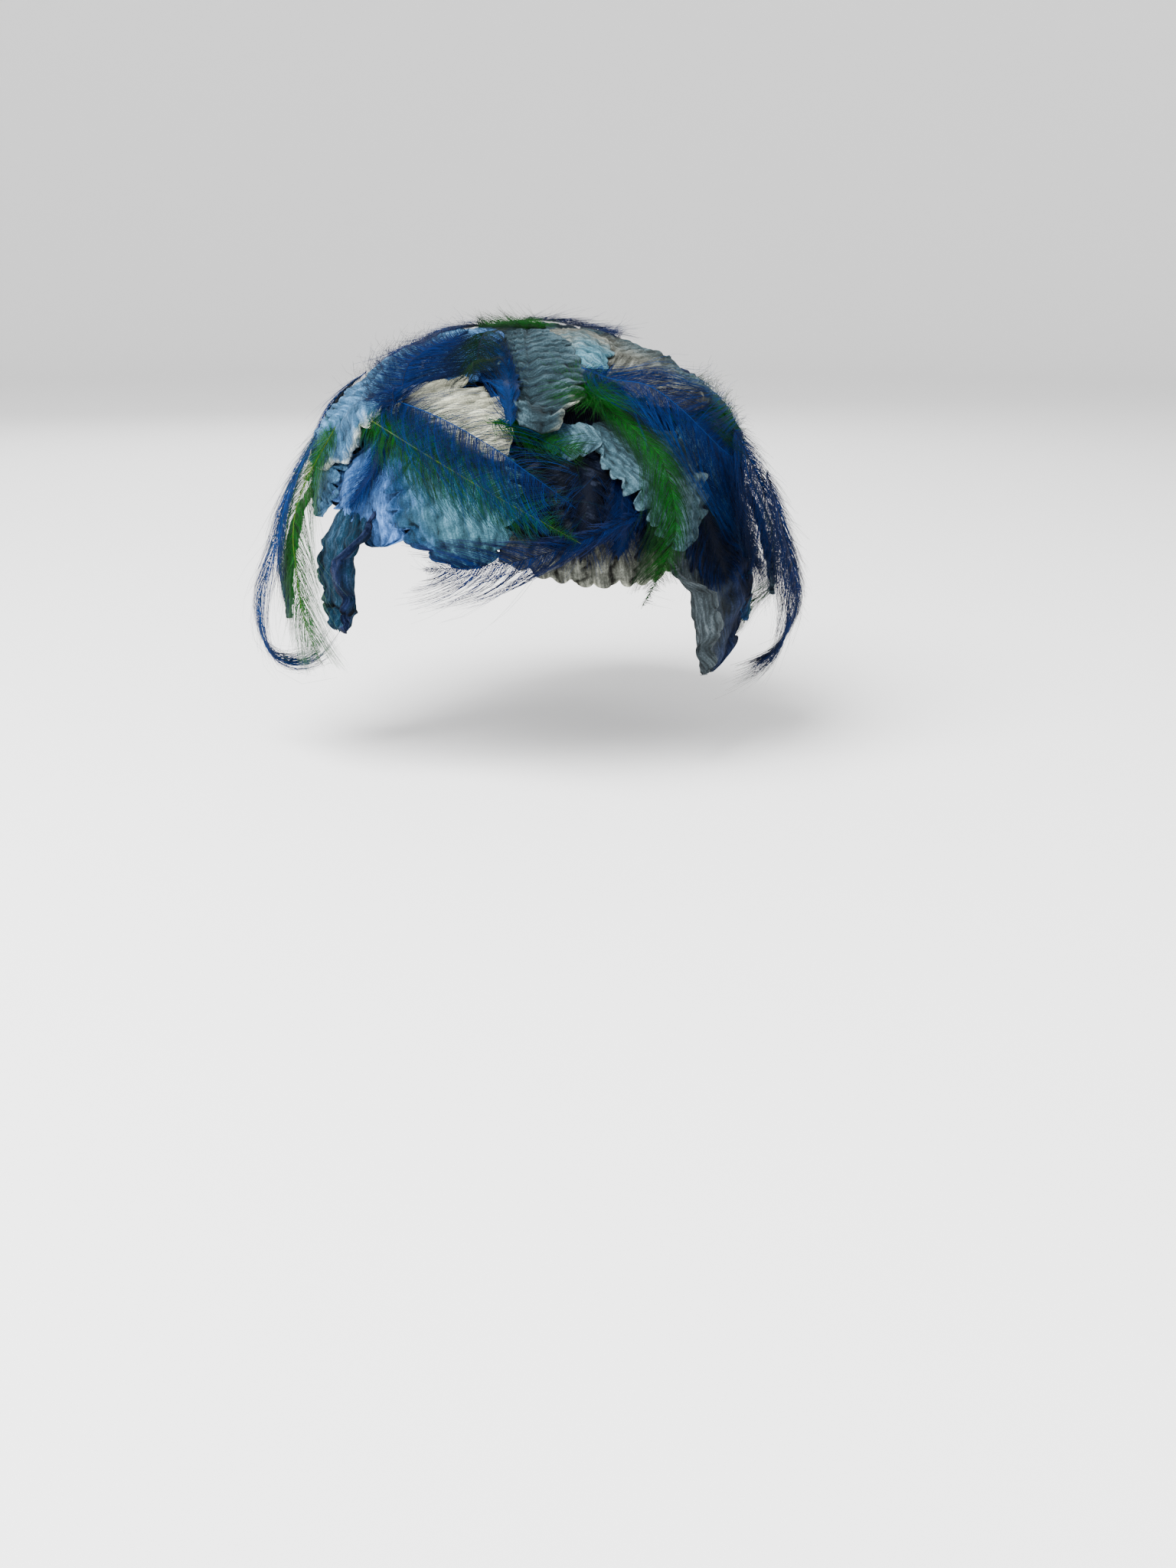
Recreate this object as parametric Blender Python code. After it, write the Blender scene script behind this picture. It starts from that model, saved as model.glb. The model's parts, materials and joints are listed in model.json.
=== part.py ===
"""A close-fitting cap covered with velvet leaves and dyed feathers, as it sits on a head.

Metres, +Z up, the wearer faces -Y. The origin is the inside of the crown's middle, where the head touches it.
Every trimming is cut as a flat pattern, then laid on the head form and on whatever was sewn on before it.
"""

import math
from dataclasses import dataclass

import bmesh
import bpy
import numpy as np

# Head form: an ellipsoid down to its widest level, and a straight wall below that.
HEAD_HALF_WIDTH = 0.077
HEAD_HALF_DEPTH = 0.090
CROWN_HEIGHT = 0.067

# Cap shell: how far down the head its edge lies, in degrees from the crown's middle.
SHELL_THICKNESS = 0.002
SHELL_ROUND_SEGMENTS = 36
SHELL_DOWN_SEGMENTS = 9
HEM_DOWN_DEG = 84.0
HEM_LOWER_AT_NAPE_DEG = 3.5
HEM_LOWER_AT_RIGHT_DEG = 7.0

# Sewing: the gap between pieces, and the probes that feel how high the pieces below stand.
SEWING_GAP = 0.00035
REACH_DEG = 0.95
PROBES = 54000
LOWEST_PROBE_DEG = 152.0
SETTLING_PASSES = 8
SETTLING_SHARE = 0.6
TOUCHED_WEIGHT = 1e-6
BENDING_PASSES = 1
STEEP_DEG = -35.0
PATH_STEPS = 48
SMALL_TURN = 0.01
SAMPLES_PER_CELL = 8

# A piece that sweeps off the head: the share of its length near the root that is still sewn flat.
SEWN_SHARE = 0.16

# A rolled leaf: the share of its half width that stays flat, and the share of its length where the roll is full.
FLAT_SHARE = 0.1
ROLLED_FROM = 0.4

DYES = {
    "shell": (0.05, 0.09, 0.20),
    "periwinkle": (0.22, 0.36, 0.66),
    "sky": (0.30, 0.47, 0.62),
    "teal": (0.17, 0.33, 0.37),
    "slate": (0.20, 0.27, 0.31),
    "ivory": (0.62, 0.62, 0.52),
    "taupe": (0.42, 0.38, 0.33),
    "ink": (0.02, 0.03, 0.09),
    "royal": (0.01, 0.05, 0.27),
    "navy": (0.01, 0.02, 0.12),
    "blue": (0.02, 0.09, 0.30),
    "green": (0.02, 0.15, 0.04),
    "moss": (0.02, 0.08, 0.03),
}
VELVET_ROUGHNESS = 0.9
FEATHER_ROUGHNESS = 0.5


@dataclass(frozen=True)
class Style:
    """How one kind of trimming is cut: its grid, its outline and its thickness."""

    rows: int
    columns: int
    outline: tuple  # pairs: share of the length, share of the half width
    notch: float  # depth of the notches between the teeth, as a share of the half width
    cup: float  # how high the pressed middle stands over the edges
    rib: float  # height of the pressed ribs, up and down
    lean: float  # how far ribs and teeth lean towards the tip, as a share of the half width
    edge_thickness: float
    middle_thickness: float


BROAD_LEAF = ((0.0, 0.42), (0.2, 0.88), (0.45, 1.0), (0.75, 0.82), (1.0, 0.28))
LONG_LEAF = ((0.0, 0.40), (0.25, 0.85), (0.5, 1.0), (0.8, 0.85), (1.0, 0.40))
HACKLE = ((0.0, 0.30), (0.15, 0.85), (0.4, 1.0), (0.75, 0.65), (1.0, 0.12))

LEAF = Style(10, 6, BROAD_LEAF, 0.16, 0.0030, 0.0004, 0.35, 0.0010, 0.0010)
SMALL_LEAF = Style(8, 4, BROAD_LEAF, 0.18, 0.0012, 0.0003, 0.35, 0.0010, 0.0010)
PLAIN_LEAF = Style(8, 4, BROAD_LEAF, 0.14, 0.0026, 0.0003, 0.35, 0.0010, 0.0010)
HEM_LEAF = Style(12, 4, LONG_LEAF, 0.10, 0.0005, 0.0006, 0.0, 0.0010, 0.0010)
ROLLED_LEAF = Style(10, 10, LONG_LEAF, 0.08, 0.0, 0.0002, 0.15, 0.0012, 0.0012)
FEATHER = Style(9, 2, HACKLE, 0.22, 0.0006, 0.0, 0.8, 0.0005, 0.0010)

FLAT = (0.0, 0.0, 0.0, 0.0)


@dataclass(frozen=True)
class Trimming:
    """One leaf or feather. Its root and tip are places on the head, (around, down) in degrees:
    around counts from the nape towards the wearer's right, and down from the crown's middle.
    bow is how far its midline curves to the side, as a share of its length.
    sweep holds its angle off the head past its sewn root, half way, three quarters and tip."""

    name: str
    style: Style
    dye: str
    root: tuple
    tip: tuple
    width: float
    bow: float = 0.0
    sweep: tuple = FLAT
    rolled_side: int = 0
    roll_radius: float = 0.005


# In the order in which they are sewn on. Places are (around, down) on the head, in degrees.
TRIMMINGS = (
    Trimming("leaf_hem_nape", HEM_LEAF, "taupe", (-6, 86), (42, 92), 0.022),
    Trimming("leaf_nape_ink", PLAIN_LEAF, "ink", (10, 52), (12, 87), 0.058),
    Trimming("leaf_nape_blue", LEAF, "periwinkle", (-43, 54), (-38, 88), 0.050),
    Trimming("leaf_nape_teal", LEAF, "teal", (-20, 54), (-12, 92), 0.052),
    Trimming("leaf_side_right", PLAIN_LEAF, "slate", (62, 52), (64, 90), 0.054),
    Trimming("leaf_side_left", PLAIN_LEAF, "teal", (-74, 52), (-70, 84), 0.048),
    Trimming("leaf_front_1", PLAIN_LEAF, "sky", (98, 46), (98, 92), 0.056),
    Trimming("leaf_front_5", PLAIN_LEAF, "ivory", (-106, 46), (-106, 80), 0.056),
    Trimming("leaf_front_2", PLAIN_LEAF, "teal", (132, 44), (132, 88), 0.058),
    Trimming("leaf_front_4", PLAIN_LEAF, "slate", (-142, 44), (-142, 80), 0.058),
    Trimming("leaf_front_3", PLAIN_LEAF, "periwinkle", (174, 42), (174, 82), 0.060),
    Trimming("feather_nape_1", FEATHER, "navy", (16, 66), (13, 91), 0.020),
    Trimming("feather_nape_2", FEATHER, "royal", (24, 68), (23, 91), 0.018),
    Trimming("feather_nape_3", FEATHER, "navy", (32, 70), (32, 90), 0.018),
    Trimming("feather_hem_sweep", FEATHER, "blue", (30, 77), (-26, 93), 0.030, 0.06),
    Trimming("ear_leaf_right_front", SMALL_LEAF, "sky", (70, 84), (72, 118), 0.028, 0, (14, 8, 0, 0)),
    Trimming("ear_leaf_left_front", SMALL_LEAF, "taupe", (-80, 76), (-76, 118), 0.028, 0, (22, 12, 0, 0)),
    Trimming("ear_leaf_right", ROLLED_LEAF, "slate", (45, 82), (49, 129), 0.050, 0, (6, 6, 0, 0), -1, 0.0055),
    Trimming("ear_leaf_left", ROLLED_LEAF, "sky", (-47, 74), (-45, 116), 0.038, 0, (4, 4, 0, 60), 1, 0.0044),
    Trimming("feather_side_right_1", FEATHER, "navy", (47, 62), (56, 103), 0.028, -0.02),
    Trimming("feather_side_right_2", FEATHER, "royal", (60, 60), (76, 104), 0.028, 0.06),
    Trimming("leaf_crown_front", PLAIN_LEAF, "slate", (4, 16), (172, 50), 0.066),
    Trimming("leaf_crown_left", PLAIN_LEAF, "slate", (-60, 10), (-44, 48), 0.050),
    Trimming("leaf_crown_side", PLAIN_LEAF, "sky", (-122, 16), (-112, 54), 0.060),
    Trimming("leaf_crown_right", PLAIN_LEAF, "periwinkle", (112, 16), (108, 54), 0.062),
    Trimming("leaf_ivory_left", LEAF, "ivory", (-48, 49), (-5, 65), 0.040),
    Trimming("leaf_right_edge", LEAF, "teal", (70, 34), (76, 70), 0.042),
    Trimming("leaf_right_lobed", LEAF, "sky", (22, 52), (40, 89), 0.046, 0.03),
    Trimming("leaf_small_lobe", SMALL_LEAF, "periwinkle", (21, 60), (5, 57), 0.015),
    Trimming("feather_blue_lock", FEATHER, "royal", (-40, 57), (-46, 79), 0.014, 0.08),
    Trimming("feather_green_sweep", FEATHER, "green", (-52, 55), (12, 85), 0.036, -0.02),
    Trimming("feather_moss_centre", FEATHER, "moss", (-8, 56), (16, 64), 0.016),
    Trimming("feather_blue_sweep", FEATHER, "blue", (-45, 51), (11, 77), 0.026, 0.02),
    Trimming("feather_green_edge", FEATHER, "green", (50, 52), (82, 64), 0.022),
    Trimming("leaf_left_edge", SMALL_LEAF, "ivory", (-86, 44), (-82, 76), 0.034),
    Trimming("leaf_left_upper", LEAF, "sky", (-70, 27), (-72, 70), 0.036, 0.14),
    Trimming("leaf_taupe_right", LEAF, "taupe", (72, 16), (56, 56), 0.038),
    Trimming("feather_green_right", FEATHER, "green", (19, 41), (30, 106), 0.028, 0.10),
    Trimming("leaf_pale_right", SMALL_LEAF, "sky", (62, 15), (17, 38), 0.028),
    Trimming("leaf_slate_centre", LEAF, "slate", (2, 59), (4, 15), 0.042),
    Trimming("feather_blue_right", FEATHER, "blue", (25, 36), (82, 80), 0.030, -0.17),
    Trimming("feather_blue_crown_left", FEATHER, "blue", (-36, 54), (-52, 17), 0.040, 0.12),
    Trimming("feather_royal_upright", FEATHER, "royal", (-3, 59), (-14, 24), 0.015, -0.02),
    Trimming("feather_moss_left", FEATHER, "moss", (-27, 15), (-13, 49), 0.013, -0.05),
    Trimming("feather_crown_green", FEATHER, "green", (40, 9), (-60, 13), 0.018),
    Trimming("feather_crown_right", FEATHER, "navy", (-170, 8), (76, 26), 0.018),
    Trimming("feather_crown_left", FEATHER, "navy", (-140, 16), (-84, 40), 0.022),
    Trimming("feather_front_1", FEATHER, "blue", (104, 42), (106, 92), 0.026),
    Trimming("feather_front_2", FEATHER, "green", (140, 40), (134, 86), 0.026),
    Trimming("feather_front_3", FEATHER, "royal", (-172, 36), (-164, 80), 0.026),
    Trimming("feather_front_4", FEATHER, "green", (-132, 40), (-126, 82), 0.026),
    Trimming("feather_front_5", FEATHER, "blue", (-98, 44), (-98, 88), 0.026),
    Trimming("ear_leaf_right_far", SMALL_LEAF, "ink", (84, 78), (86, 114), 0.026, 0, (24, 18, 8, 0)),
    Trimming("feather_left_fall", FEATHER, "blue", (-72, 60), (-74, 112), 0.018, 0, (8, 12, 0, -25)),
    Trimming("feather_left_green", FEATHER, "green", (-62, 60), (-50, 126), 0.022, -0.07, (8, 10, 0, -10)),
    Trimming("feather_left_hook", FEATHER, "blue", (-66, 62), (-76, 146), 0.018, 0, (12, 18, -20, -150)),
    Trimming("feather_right_sweep", FEATHER, "royal", (66, 63), (80, 112), 0.020, 0, (10, 18, 16, 8)),
    Trimming("feather_right_hook", FEATHER, "navy", (72, 75), (80, 138), 0.018, 0, (8, 14, -16, -70)),
    Trimming("feather_right_green_hook", FEATHER, "green", (88, 70), (95, 132), 0.016, 0, (4, 8, -12, -60)),
)


def unit(vectors):
    return vectors / np.linalg.norm(vectors, axis=-1, keepdims=True)


def direction_of(around_deg, down_deg):
    """The direction from the head's centre, on a unit sphere that stands for the head form."""
    around, down = np.radians(around_deg), np.radians(down_deg)
    x = -np.sin(down) * np.sin(around)
    y = np.sin(down) * np.cos(around)
    return np.stack([x, y, np.cos(down) + 0 * x], axis=-1)


def head_point(directions, height):
    """Points at a height off the head form: ellipsoid above the widest level, straight wall below it."""
    directions = np.asarray(directions, float)
    height = np.asarray(height, float)[..., None]
    above = np.clip(directions[..., 2:], 0.0, 1.0)
    flat = directions[..., :2]
    below = directions[..., 2:] < 0
    flat = np.where(below, unit(flat + 1e-12), flat)
    drop = np.where(below, np.arcsin(np.clip(directions[..., 2:], -1.0, 0.0)), 0.0)
    semi_axes = np.array([HEAD_HALF_WIDTH, HEAD_HALF_DEPTH, CROWN_HEIGHT])
    spread = np.concatenate([flat, above], axis=-1)
    surface = spread * semi_axes
    surface[..., 2:] += CROWN_HEIGHT * (drop - 1.0)
    return surface + unit(spread / semi_axes) * height


class Path:
    """The midline of a trimming, laid over the head form from its root to its tip."""

    def __init__(self, trimming):
        root, tip = direction_of(*trimming.root), direction_of(*trimming.tip)
        turn = math.acos(float(root @ tip))
        share = np.linspace(0.0, 1.0, PATH_STEPS + 1)[:, None]
        straight = (root * np.sin((1.0 - share) * turn) + tip * np.sin(share * turn)) / math.sin(turn)
        level = unit(np.cross(root, tip))
        self.places = unit(straight + level * trimming.bow * turn * np.sin(math.pi * share))
        ahead = np.gradient(self.places, axis=0)
        self.sides = unit(np.cross(self.places, ahead))
        surface = head_point(self.places, np.zeros(PATH_STEPS + 1))
        beside = head_point(unit(self.places + self.sides * SMALL_TURN), np.zeros(PATH_STEPS + 1))
        self.strides = np.linalg.norm(beside - surface, axis=1) / SMALL_TURN
        steps = np.linalg.norm(np.diff(surface, axis=0), axis=1)
        self.distance = np.concatenate([[0.0], np.cumsum(steps)])
        self.length = self.distance[-1]

    def directions(self, along, across):
        """Directions of points a distance along the midline and a distance to its side."""
        def at(values):
            return np.stack([np.interp(along, self.distance, column) for column in values.T], axis=-1)

        place, side = unit(at(self.places)), unit(at(self.sides))
        angle = (across / np.interp(along, self.distance, self.strides))[..., None]
        return unit(place * np.cos(angle) + side * np.sin(angle))


class BuildUp:
    """How high the sewn pieces stand off the head, kept at probes spread evenly over it."""

    def __init__(self):
        count = np.arange(PROBES) + 0.5
        down = np.degrees(np.arccos(1.0 - 2.0 * count / PROBES))
        around = np.degrees(math.pi * (1.0 + math.sqrt(5.0)) * count)
        kept = down < LOWEST_PROBE_DEG
        self.probes = direction_of(around[kept], down[kept])
        self.height = np.full(len(self.probes), SHELL_THICKNESS)

    def near(self, directions):
        """Which probes lie round a piece, and which of them lie close to each direction."""
        middle = unit(directions.mean(axis=0))
        spread = math.acos(min(1.0, float((directions @ middle).min()))) + math.radians(REACH_DEG)
        chosen = np.flatnonzero(self.probes @ middle > math.cos(min(math.pi, spread)))
        return chosen, directions @ self.probes[chosen].T > math.cos(math.radians(REACH_DEG))

    def felt(self, directions):
        """The greatest height close to each direction."""
        chosen, close = self.near(directions)
        return np.where(close, self.height[chosen], SHELL_THICKNESS).max(axis=1)

    def cover(self, directions, heights):
        """Raises the build-up to these heights."""
        chosen, close = self.near(directions)
        raised = np.where(close, heights[:, None], 0.0).max(axis=0)
        self.height[chosen] = np.maximum(self.height[chosen], raised)


def between(cells):
    """Weights of the grid lines at points spread evenly over so many cells."""
    fine = np.linspace(0, cells, cells * SAMPLES_PER_CELL + 1)
    return np.maximum(0.0, 1.0 - np.abs(fine[:, None] - np.arange(cells + 1)))


class Cut:
    """A trimming's flat pattern, formed over the head and over the pieces below it."""

    def __init__(self, trimming, build_up):
        self.trimming, style = trimming, trimming.style
        self.weights = np.kron(between(style.rows), between(style.columns))
        share = np.linspace(0.0, 1.0, style.rows + 1)[:, None]
        side = np.linspace(-1.0, 1.0, style.columns + 1)[None, :]
        half = trimming.width / 2.0 * np.interp(share, *zip(*style.outline))
        notched = (np.arange(style.rows + 1) % 2 == 0)[:, None]
        half = half * (1.0 - style.notch * notched * np.abs(side) ** 4)
        self.path = Path(trimming)
        self.lie_along(share + style.lean * np.abs(side) * half / self.path.length * (1.0 - share))
        self.lie_across(share, side, half)
        rib = style.rib * np.where(notched, -1.0, 1.0) * np.abs(side) + 0.0 * self.along
        middle = 1.0 - np.abs(side)
        self.thickness = style.edge_thickness + (style.middle_thickness - style.edge_thickness) * middle
        cup = style.cup * (1.0 - side**2) * np.sin(math.pi * share)
        self.bottom = self.settled(build_up, rib) + rib + cup + self.lift_along + self.lift_across
        for upper in (0, 1):
            build_up.cover(*self.spread(*self.layer(upper)))

    def spread(self, directions, heights):
        """Directions and true heights of points spread over the flat facets of a face."""
        points = self.weights @ head_point(directions, heights).reshape(-1, 3)
        aims = unit(self.weights @ directions.reshape(-1, 3))
        surface = head_point(aims, np.zeros(len(aims)))
        normals = head_point(aims, np.ones(len(aims))) - surface
        return aims, ((points - surface) * normals).sum(axis=1)

    def settled(self, build_up, rib):
        """The lowest sheet that clears what lies below it, with its ribs, and then bends softly."""
        lying = self.along_angle > math.radians(STEEP_DEG)
        last_lying = int(np.flatnonzero(lying.all(axis=1))[-1])
        flat = np.zeros(self.along.shape)
        aims, sag = self.spread(self.path.directions(self.along, self.across), flat)
        needed = build_up.felt(aims) + SEWING_GAP - sag - self.weights @ rib.reshape(-1)
        needed = np.where(self.weights @ lying.reshape(-1) > 0.5, needed, SHELL_THICKNESS)
        lifted = self.weights @ self.lift_along.reshape(-1)
        at_root = self.weights[:, : rib.shape[1]].sum(axis=1) > 0.5
        needed = np.where(lifted > SEWING_GAP, np.maximum(needed - lifted, needed[at_root].max()), needed)
        touched = self.weights > TOUCHED_WEIGHT
        height = np.where(touched, needed[:, None], 0.0).max(axis=0)
        for _ in range(SETTLING_PASSES):
            for corner in range(height.size):
                near = touched[:, corner]
                weight = self.weights[near, corner]
                spare = self.weights[near] @ height - needed[near]
                height[corner] -= SETTLING_SHARE * (spare / weight).min()
        height = height.reshape(rib.shape)
        for _ in range(BENDING_PASSES):
            padded = np.pad(height, 1, mode="edge")
            mean = (padded[:-2, 1:-1] + padded[2:, 1:-1] + padded[1:-1, :-2] + padded[1:-1, 2:]) / 4.0
            height = np.maximum(height, mean)
        height[last_lying:] = height[last_lying]
        return height

    def lie_along(self, share):
        """Distance along the head and height off it, for a sheet swept away from the head."""
        steps = np.linspace(0.0, 1.0, PATH_STEPS + 1)
        angle = np.radians(np.interp(steps, (0.0, SEWN_SHARE, 0.5, 0.75, 1.0), (0.0, *self.trimming.sweep)))
        step = self.path.length / PATH_STEPS
        along = np.concatenate([[0.0], np.cumsum(np.cos(angle[:-1]) * step)])
        lift = np.concatenate([[0.0], np.cumsum(np.sin(angle[:-1]) * step)])
        self.along = np.interp(share, steps, along)
        self.lift_along = np.interp(share, steps, lift)
        self.along_angle = np.interp(share, steps, angle)

    def lie_across(self, share, side, half):
        """Distance to the side and height, for a sheet whose one edge rolls up below its root."""
        rolled_side, radius = self.trimming.rolled_side, self.trimming.roll_radius
        flat_share = 1.0 - (1.0 - FLAT_SHARE) * np.clip(share / ROLLED_FROM, 0.0, 1.0)
        rolled = np.maximum(0.0, side * rolled_side - flat_share) * half
        angle = rolled / radius
        self.across = side * half - rolled_side * (rolled - radius * np.sin(angle))
        self.lift_across = radius * (1.0 - np.cos(angle))
        self.across_angle = angle * rolled_side

    def layer(self, upper):
        """Directions and heights of the under face (0) or the upper face (1)."""
        offset = self.thickness * upper
        along = self.along - offset * np.sin(self.along_angle)
        across = self.across - offset * np.sin(self.across_angle)
        height = self.bottom + offset * np.cos(self.along_angle) * np.cos(self.across_angle)
        return self.path.directions(along, across), height

    def formed(self):
        """Points of the under face, then of the upper face, row by row."""
        return [head_point(*self.layer(upper)) for upper in (0, 1)]


def sewn_piece(cut):
    """The trimming as one closed sheet: a flat grid, thickened, and each point then moved to its formed place."""
    style = cut.trimming.style
    under, upper = cut.formed()
    sheet = bmesh.new()
    bmesh.ops.create_grid(sheet, x_segments=style.columns, y_segments=style.rows, size=1.0)
    raised = bmesh.ops.extrude_face_region(sheet, geom=sheet.faces[:], use_keep_orig=True)
    bmesh.ops.translate(
        sheet, verts=[part for part in raised["geom"] if isinstance(part, bmesh.types.BMVert)], vec=(0, 0, 1)
    )
    for vert in sheet.verts:
        column = round((vert.co.x + 1.0) / 2.0 * style.columns)
        row = round((vert.co.y + 1.0) / 2.0 * style.rows)
        vert.co = (upper if vert.co.z > 0.5 else under)[row, column]
    return facing_out(sheet)


def facing_out(shape):
    """The closed shape with its faces turned outwards."""
    bmesh.ops.recalc_face_normals(shape, faces=shape.faces)
    if shape.calc_volume(signed=True) < 0.0:
        bmesh.ops.reverse_faces(shape, faces=shape.faces)
    return shape


def cap_shell():
    """The stiffened cap: a dome of even thickness, lower at the nape and at the wearer's right."""
    shell = bmesh.new()
    bmesh.ops.create_uvsphere(
        shell, u_segments=SHELL_ROUND_SEGMENTS, v_segments=2 * SHELL_DOWN_SEGMENTS, radius=1.0
    )
    lower = [vert for vert in shell.verts if vert.co.z < -0.01]
    bmesh.ops.delete(shell, geom=lower, context="VERTS")
    raised = bmesh.ops.extrude_face_region(shell, geom=shell.faces[:], use_keep_orig=True)
    for vert in raised["geom"]:
        if isinstance(vert, bmesh.types.BMVert):
            vert.co *= 2.0
    for vert in shell.verts:
        layer = vert.co.length - 1.0
        ball = vert.co.normalized()
        around = math.degrees(math.atan2(-ball.x, ball.y))
        down_share = math.acos(max(-1.0, min(1.0, ball.z))) / (math.pi / 2.0)
        place = direction_of(around, hem_down(around) * down_share)
        vert.co = head_point(place, SHELL_THICKNESS * layer)
    return facing_out(shell)


def hem_down(around_deg):
    """How far down the head the shell's edge lies."""
    around = math.radians(around_deg)
    return HEM_DOWN_DEG + HEM_LOWER_AT_NAPE_DEG * math.cos(around) + HEM_LOWER_AT_RIGHT_DEG * math.sin(around)


def dyed(name, roughness):
    """A material in one of the dye colours, made once."""
    material = bpy.data.materials.get(name)
    if material is None:
        material = bpy.data.materials.new(name)
        material.use_nodes = True
        surface = material.node_tree.nodes["Principled BSDF"]
        surface.inputs["Base Color"].default_value = (*DYES[name], 1.0)
        surface.inputs["Roughness"].default_value = roughness
        surface.inputs["Metallic"].default_value = 0.0
    return material


def place_object(name, shape, material):
    mesh = bpy.data.meshes.new(name)
    shape.to_mesh(mesh)
    shape.free()
    mesh.shade_smooth()
    mesh.materials.append(material)
    bpy.context.scene.collection.objects.link(bpy.data.objects.new(name, mesh))


def main():
    for old in list(bpy.data.objects):
        bpy.data.objects.remove(old)
    place_object("cap_shell", cap_shell(), dyed("shell", VELVET_ROUGHNESS))
    build_up = BuildUp()
    for trimming in TRIMMINGS:
        roughness = FEATHER_ROUGHNESS if trimming.style is FEATHER else VELVET_ROUGHNESS
        place_object(trimming.name, sewn_piece(Cut(trimming, build_up)), dyed(trimming.dye, roughness))


main()
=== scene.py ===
"""A close-fitting cap of pressed velvet leaves and dyed feathers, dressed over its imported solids.

Metres, +Z up, the front at -Y and the right-hand side at -X. Every leaf and feather is laid along the same
path over the dome as its solid, takes its height from the solid's own corners, and is then given its ribs,
lobes, quill and barbs.
"""

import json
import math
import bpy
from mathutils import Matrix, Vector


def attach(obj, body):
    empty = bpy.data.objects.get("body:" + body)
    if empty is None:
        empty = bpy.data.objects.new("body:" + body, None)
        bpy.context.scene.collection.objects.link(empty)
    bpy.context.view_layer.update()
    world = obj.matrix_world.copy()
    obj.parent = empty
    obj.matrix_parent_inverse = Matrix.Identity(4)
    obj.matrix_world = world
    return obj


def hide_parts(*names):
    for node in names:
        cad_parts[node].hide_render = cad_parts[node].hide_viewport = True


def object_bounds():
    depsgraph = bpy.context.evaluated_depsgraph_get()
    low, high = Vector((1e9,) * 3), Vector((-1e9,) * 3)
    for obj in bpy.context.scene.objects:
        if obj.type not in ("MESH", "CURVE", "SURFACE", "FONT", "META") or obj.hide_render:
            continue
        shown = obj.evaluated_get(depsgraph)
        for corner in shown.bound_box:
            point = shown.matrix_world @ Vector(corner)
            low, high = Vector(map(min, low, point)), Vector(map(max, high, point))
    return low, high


bl_info = {
    "name": "Feather and Velvet Leaf Cap",
    "version": (1, 0, 0),
    "blender": (4, 5, 0),
    "location": "3D View > Sidebar > Cap",
    "description": "Dresses a small cap in pressed velvet leaves and dyed hackle feathers",
    "category": "Object",
}

from typing import NamedTuple

import bmesh
import bpy
import numpy as np
from mathutils import Vector

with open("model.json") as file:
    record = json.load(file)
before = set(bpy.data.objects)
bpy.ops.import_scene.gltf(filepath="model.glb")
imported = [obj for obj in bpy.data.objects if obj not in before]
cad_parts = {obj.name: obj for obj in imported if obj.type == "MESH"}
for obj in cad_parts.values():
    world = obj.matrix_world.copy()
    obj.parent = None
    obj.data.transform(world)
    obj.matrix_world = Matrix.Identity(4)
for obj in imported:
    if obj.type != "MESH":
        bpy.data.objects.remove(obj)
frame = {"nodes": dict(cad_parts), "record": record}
CAD_BOX = [list(corner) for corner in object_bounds()]

# The dome that everything lies on: an ellipsoid down to its widest level, and a straight wall below that.
DOME_HALF_WIDTH = 0.077
DOME_HALF_DEPTH = 0.090
CROWN_HEIGHT = 0.067
HEM_DOWN_DEG = 84.0
HEM_LOWER_AT_NAPE_DEG = 3.5
HEM_LOWER_AT_RIGHT_DEG = 7.0
PATH_STEPS = 96
SMALL_TURN = 0.01
SEWN_SHARE = 0.16  # how much of a loose piece lies on the cap before it leaves it
FLAT_SHARE = 0.1  # how much of a rolled leaf's half width stays flat
ROLLED_FROM = 0.4  # the share of the length from which a rolled leaf is rolled up fully
STEEP = math.radians(-35.0)
TURNED_UNDER = -0.4  # cosine of the turn past which a rolled edge no longer faces out
CORNER_SLACK = 0.0002
RAISED_SHARE = 0.3  # how much of a raised feather its rise takes


class Style(NamedTuple):
    """How one kind of trimming is cut in the solids."""

    rows: int
    columns: int
    outline: tuple
    notch: float
    cup: float
    rib: float
    lean: float


BROAD_LEAF = ((0.0, 0.42), (0.2, 0.88), (0.45, 1.0), (0.75, 0.82), (1.0, 0.28))
LONG_LEAF = ((0.0, 0.40), (0.25, 0.85), (0.5, 1.0), (0.8, 0.85), (1.0, 0.40))
HACKLE = ((0.0, 0.30), (0.15, 0.85), (0.4, 1.0), (0.75, 0.65), (1.0, 0.12))

LEAF = Style(10, 6, BROAD_LEAF, 0.16, 0.0030, 0.0004, 0.35)
SMALL_LEAF = Style(8, 4, BROAD_LEAF, 0.18, 0.0012, 0.0003, 0.35)
PLAIN_LEAF = Style(8, 4, BROAD_LEAF, 0.14, 0.0026, 0.0003, 0.35)
HEM_LEAF = Style(12, 4, LONG_LEAF, 0.10, 0.0005, 0.0006, 0.0)
ROLLED_LEAF = Style(10, 10, LONG_LEAF, 0.08, 0.0, 0.0002, 0.15)
FEATHER = Style(9, 2, HACKLE, 0.22, 0.0006, 0.0, 0.8)
FLAT = (0.0, 0.0, 0.0, 0.0)


class Cut(NamedTuple):
    """Where one trimming lies: root and tip are (around, down) on the dome, in degrees."""

    style: Style
    root: tuple
    tip: tuple
    width: float
    bow: float = 0.0
    sweep: tuple = FLAT
    rolled_side: int = 0
    roll_radius: float = 0.005


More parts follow.
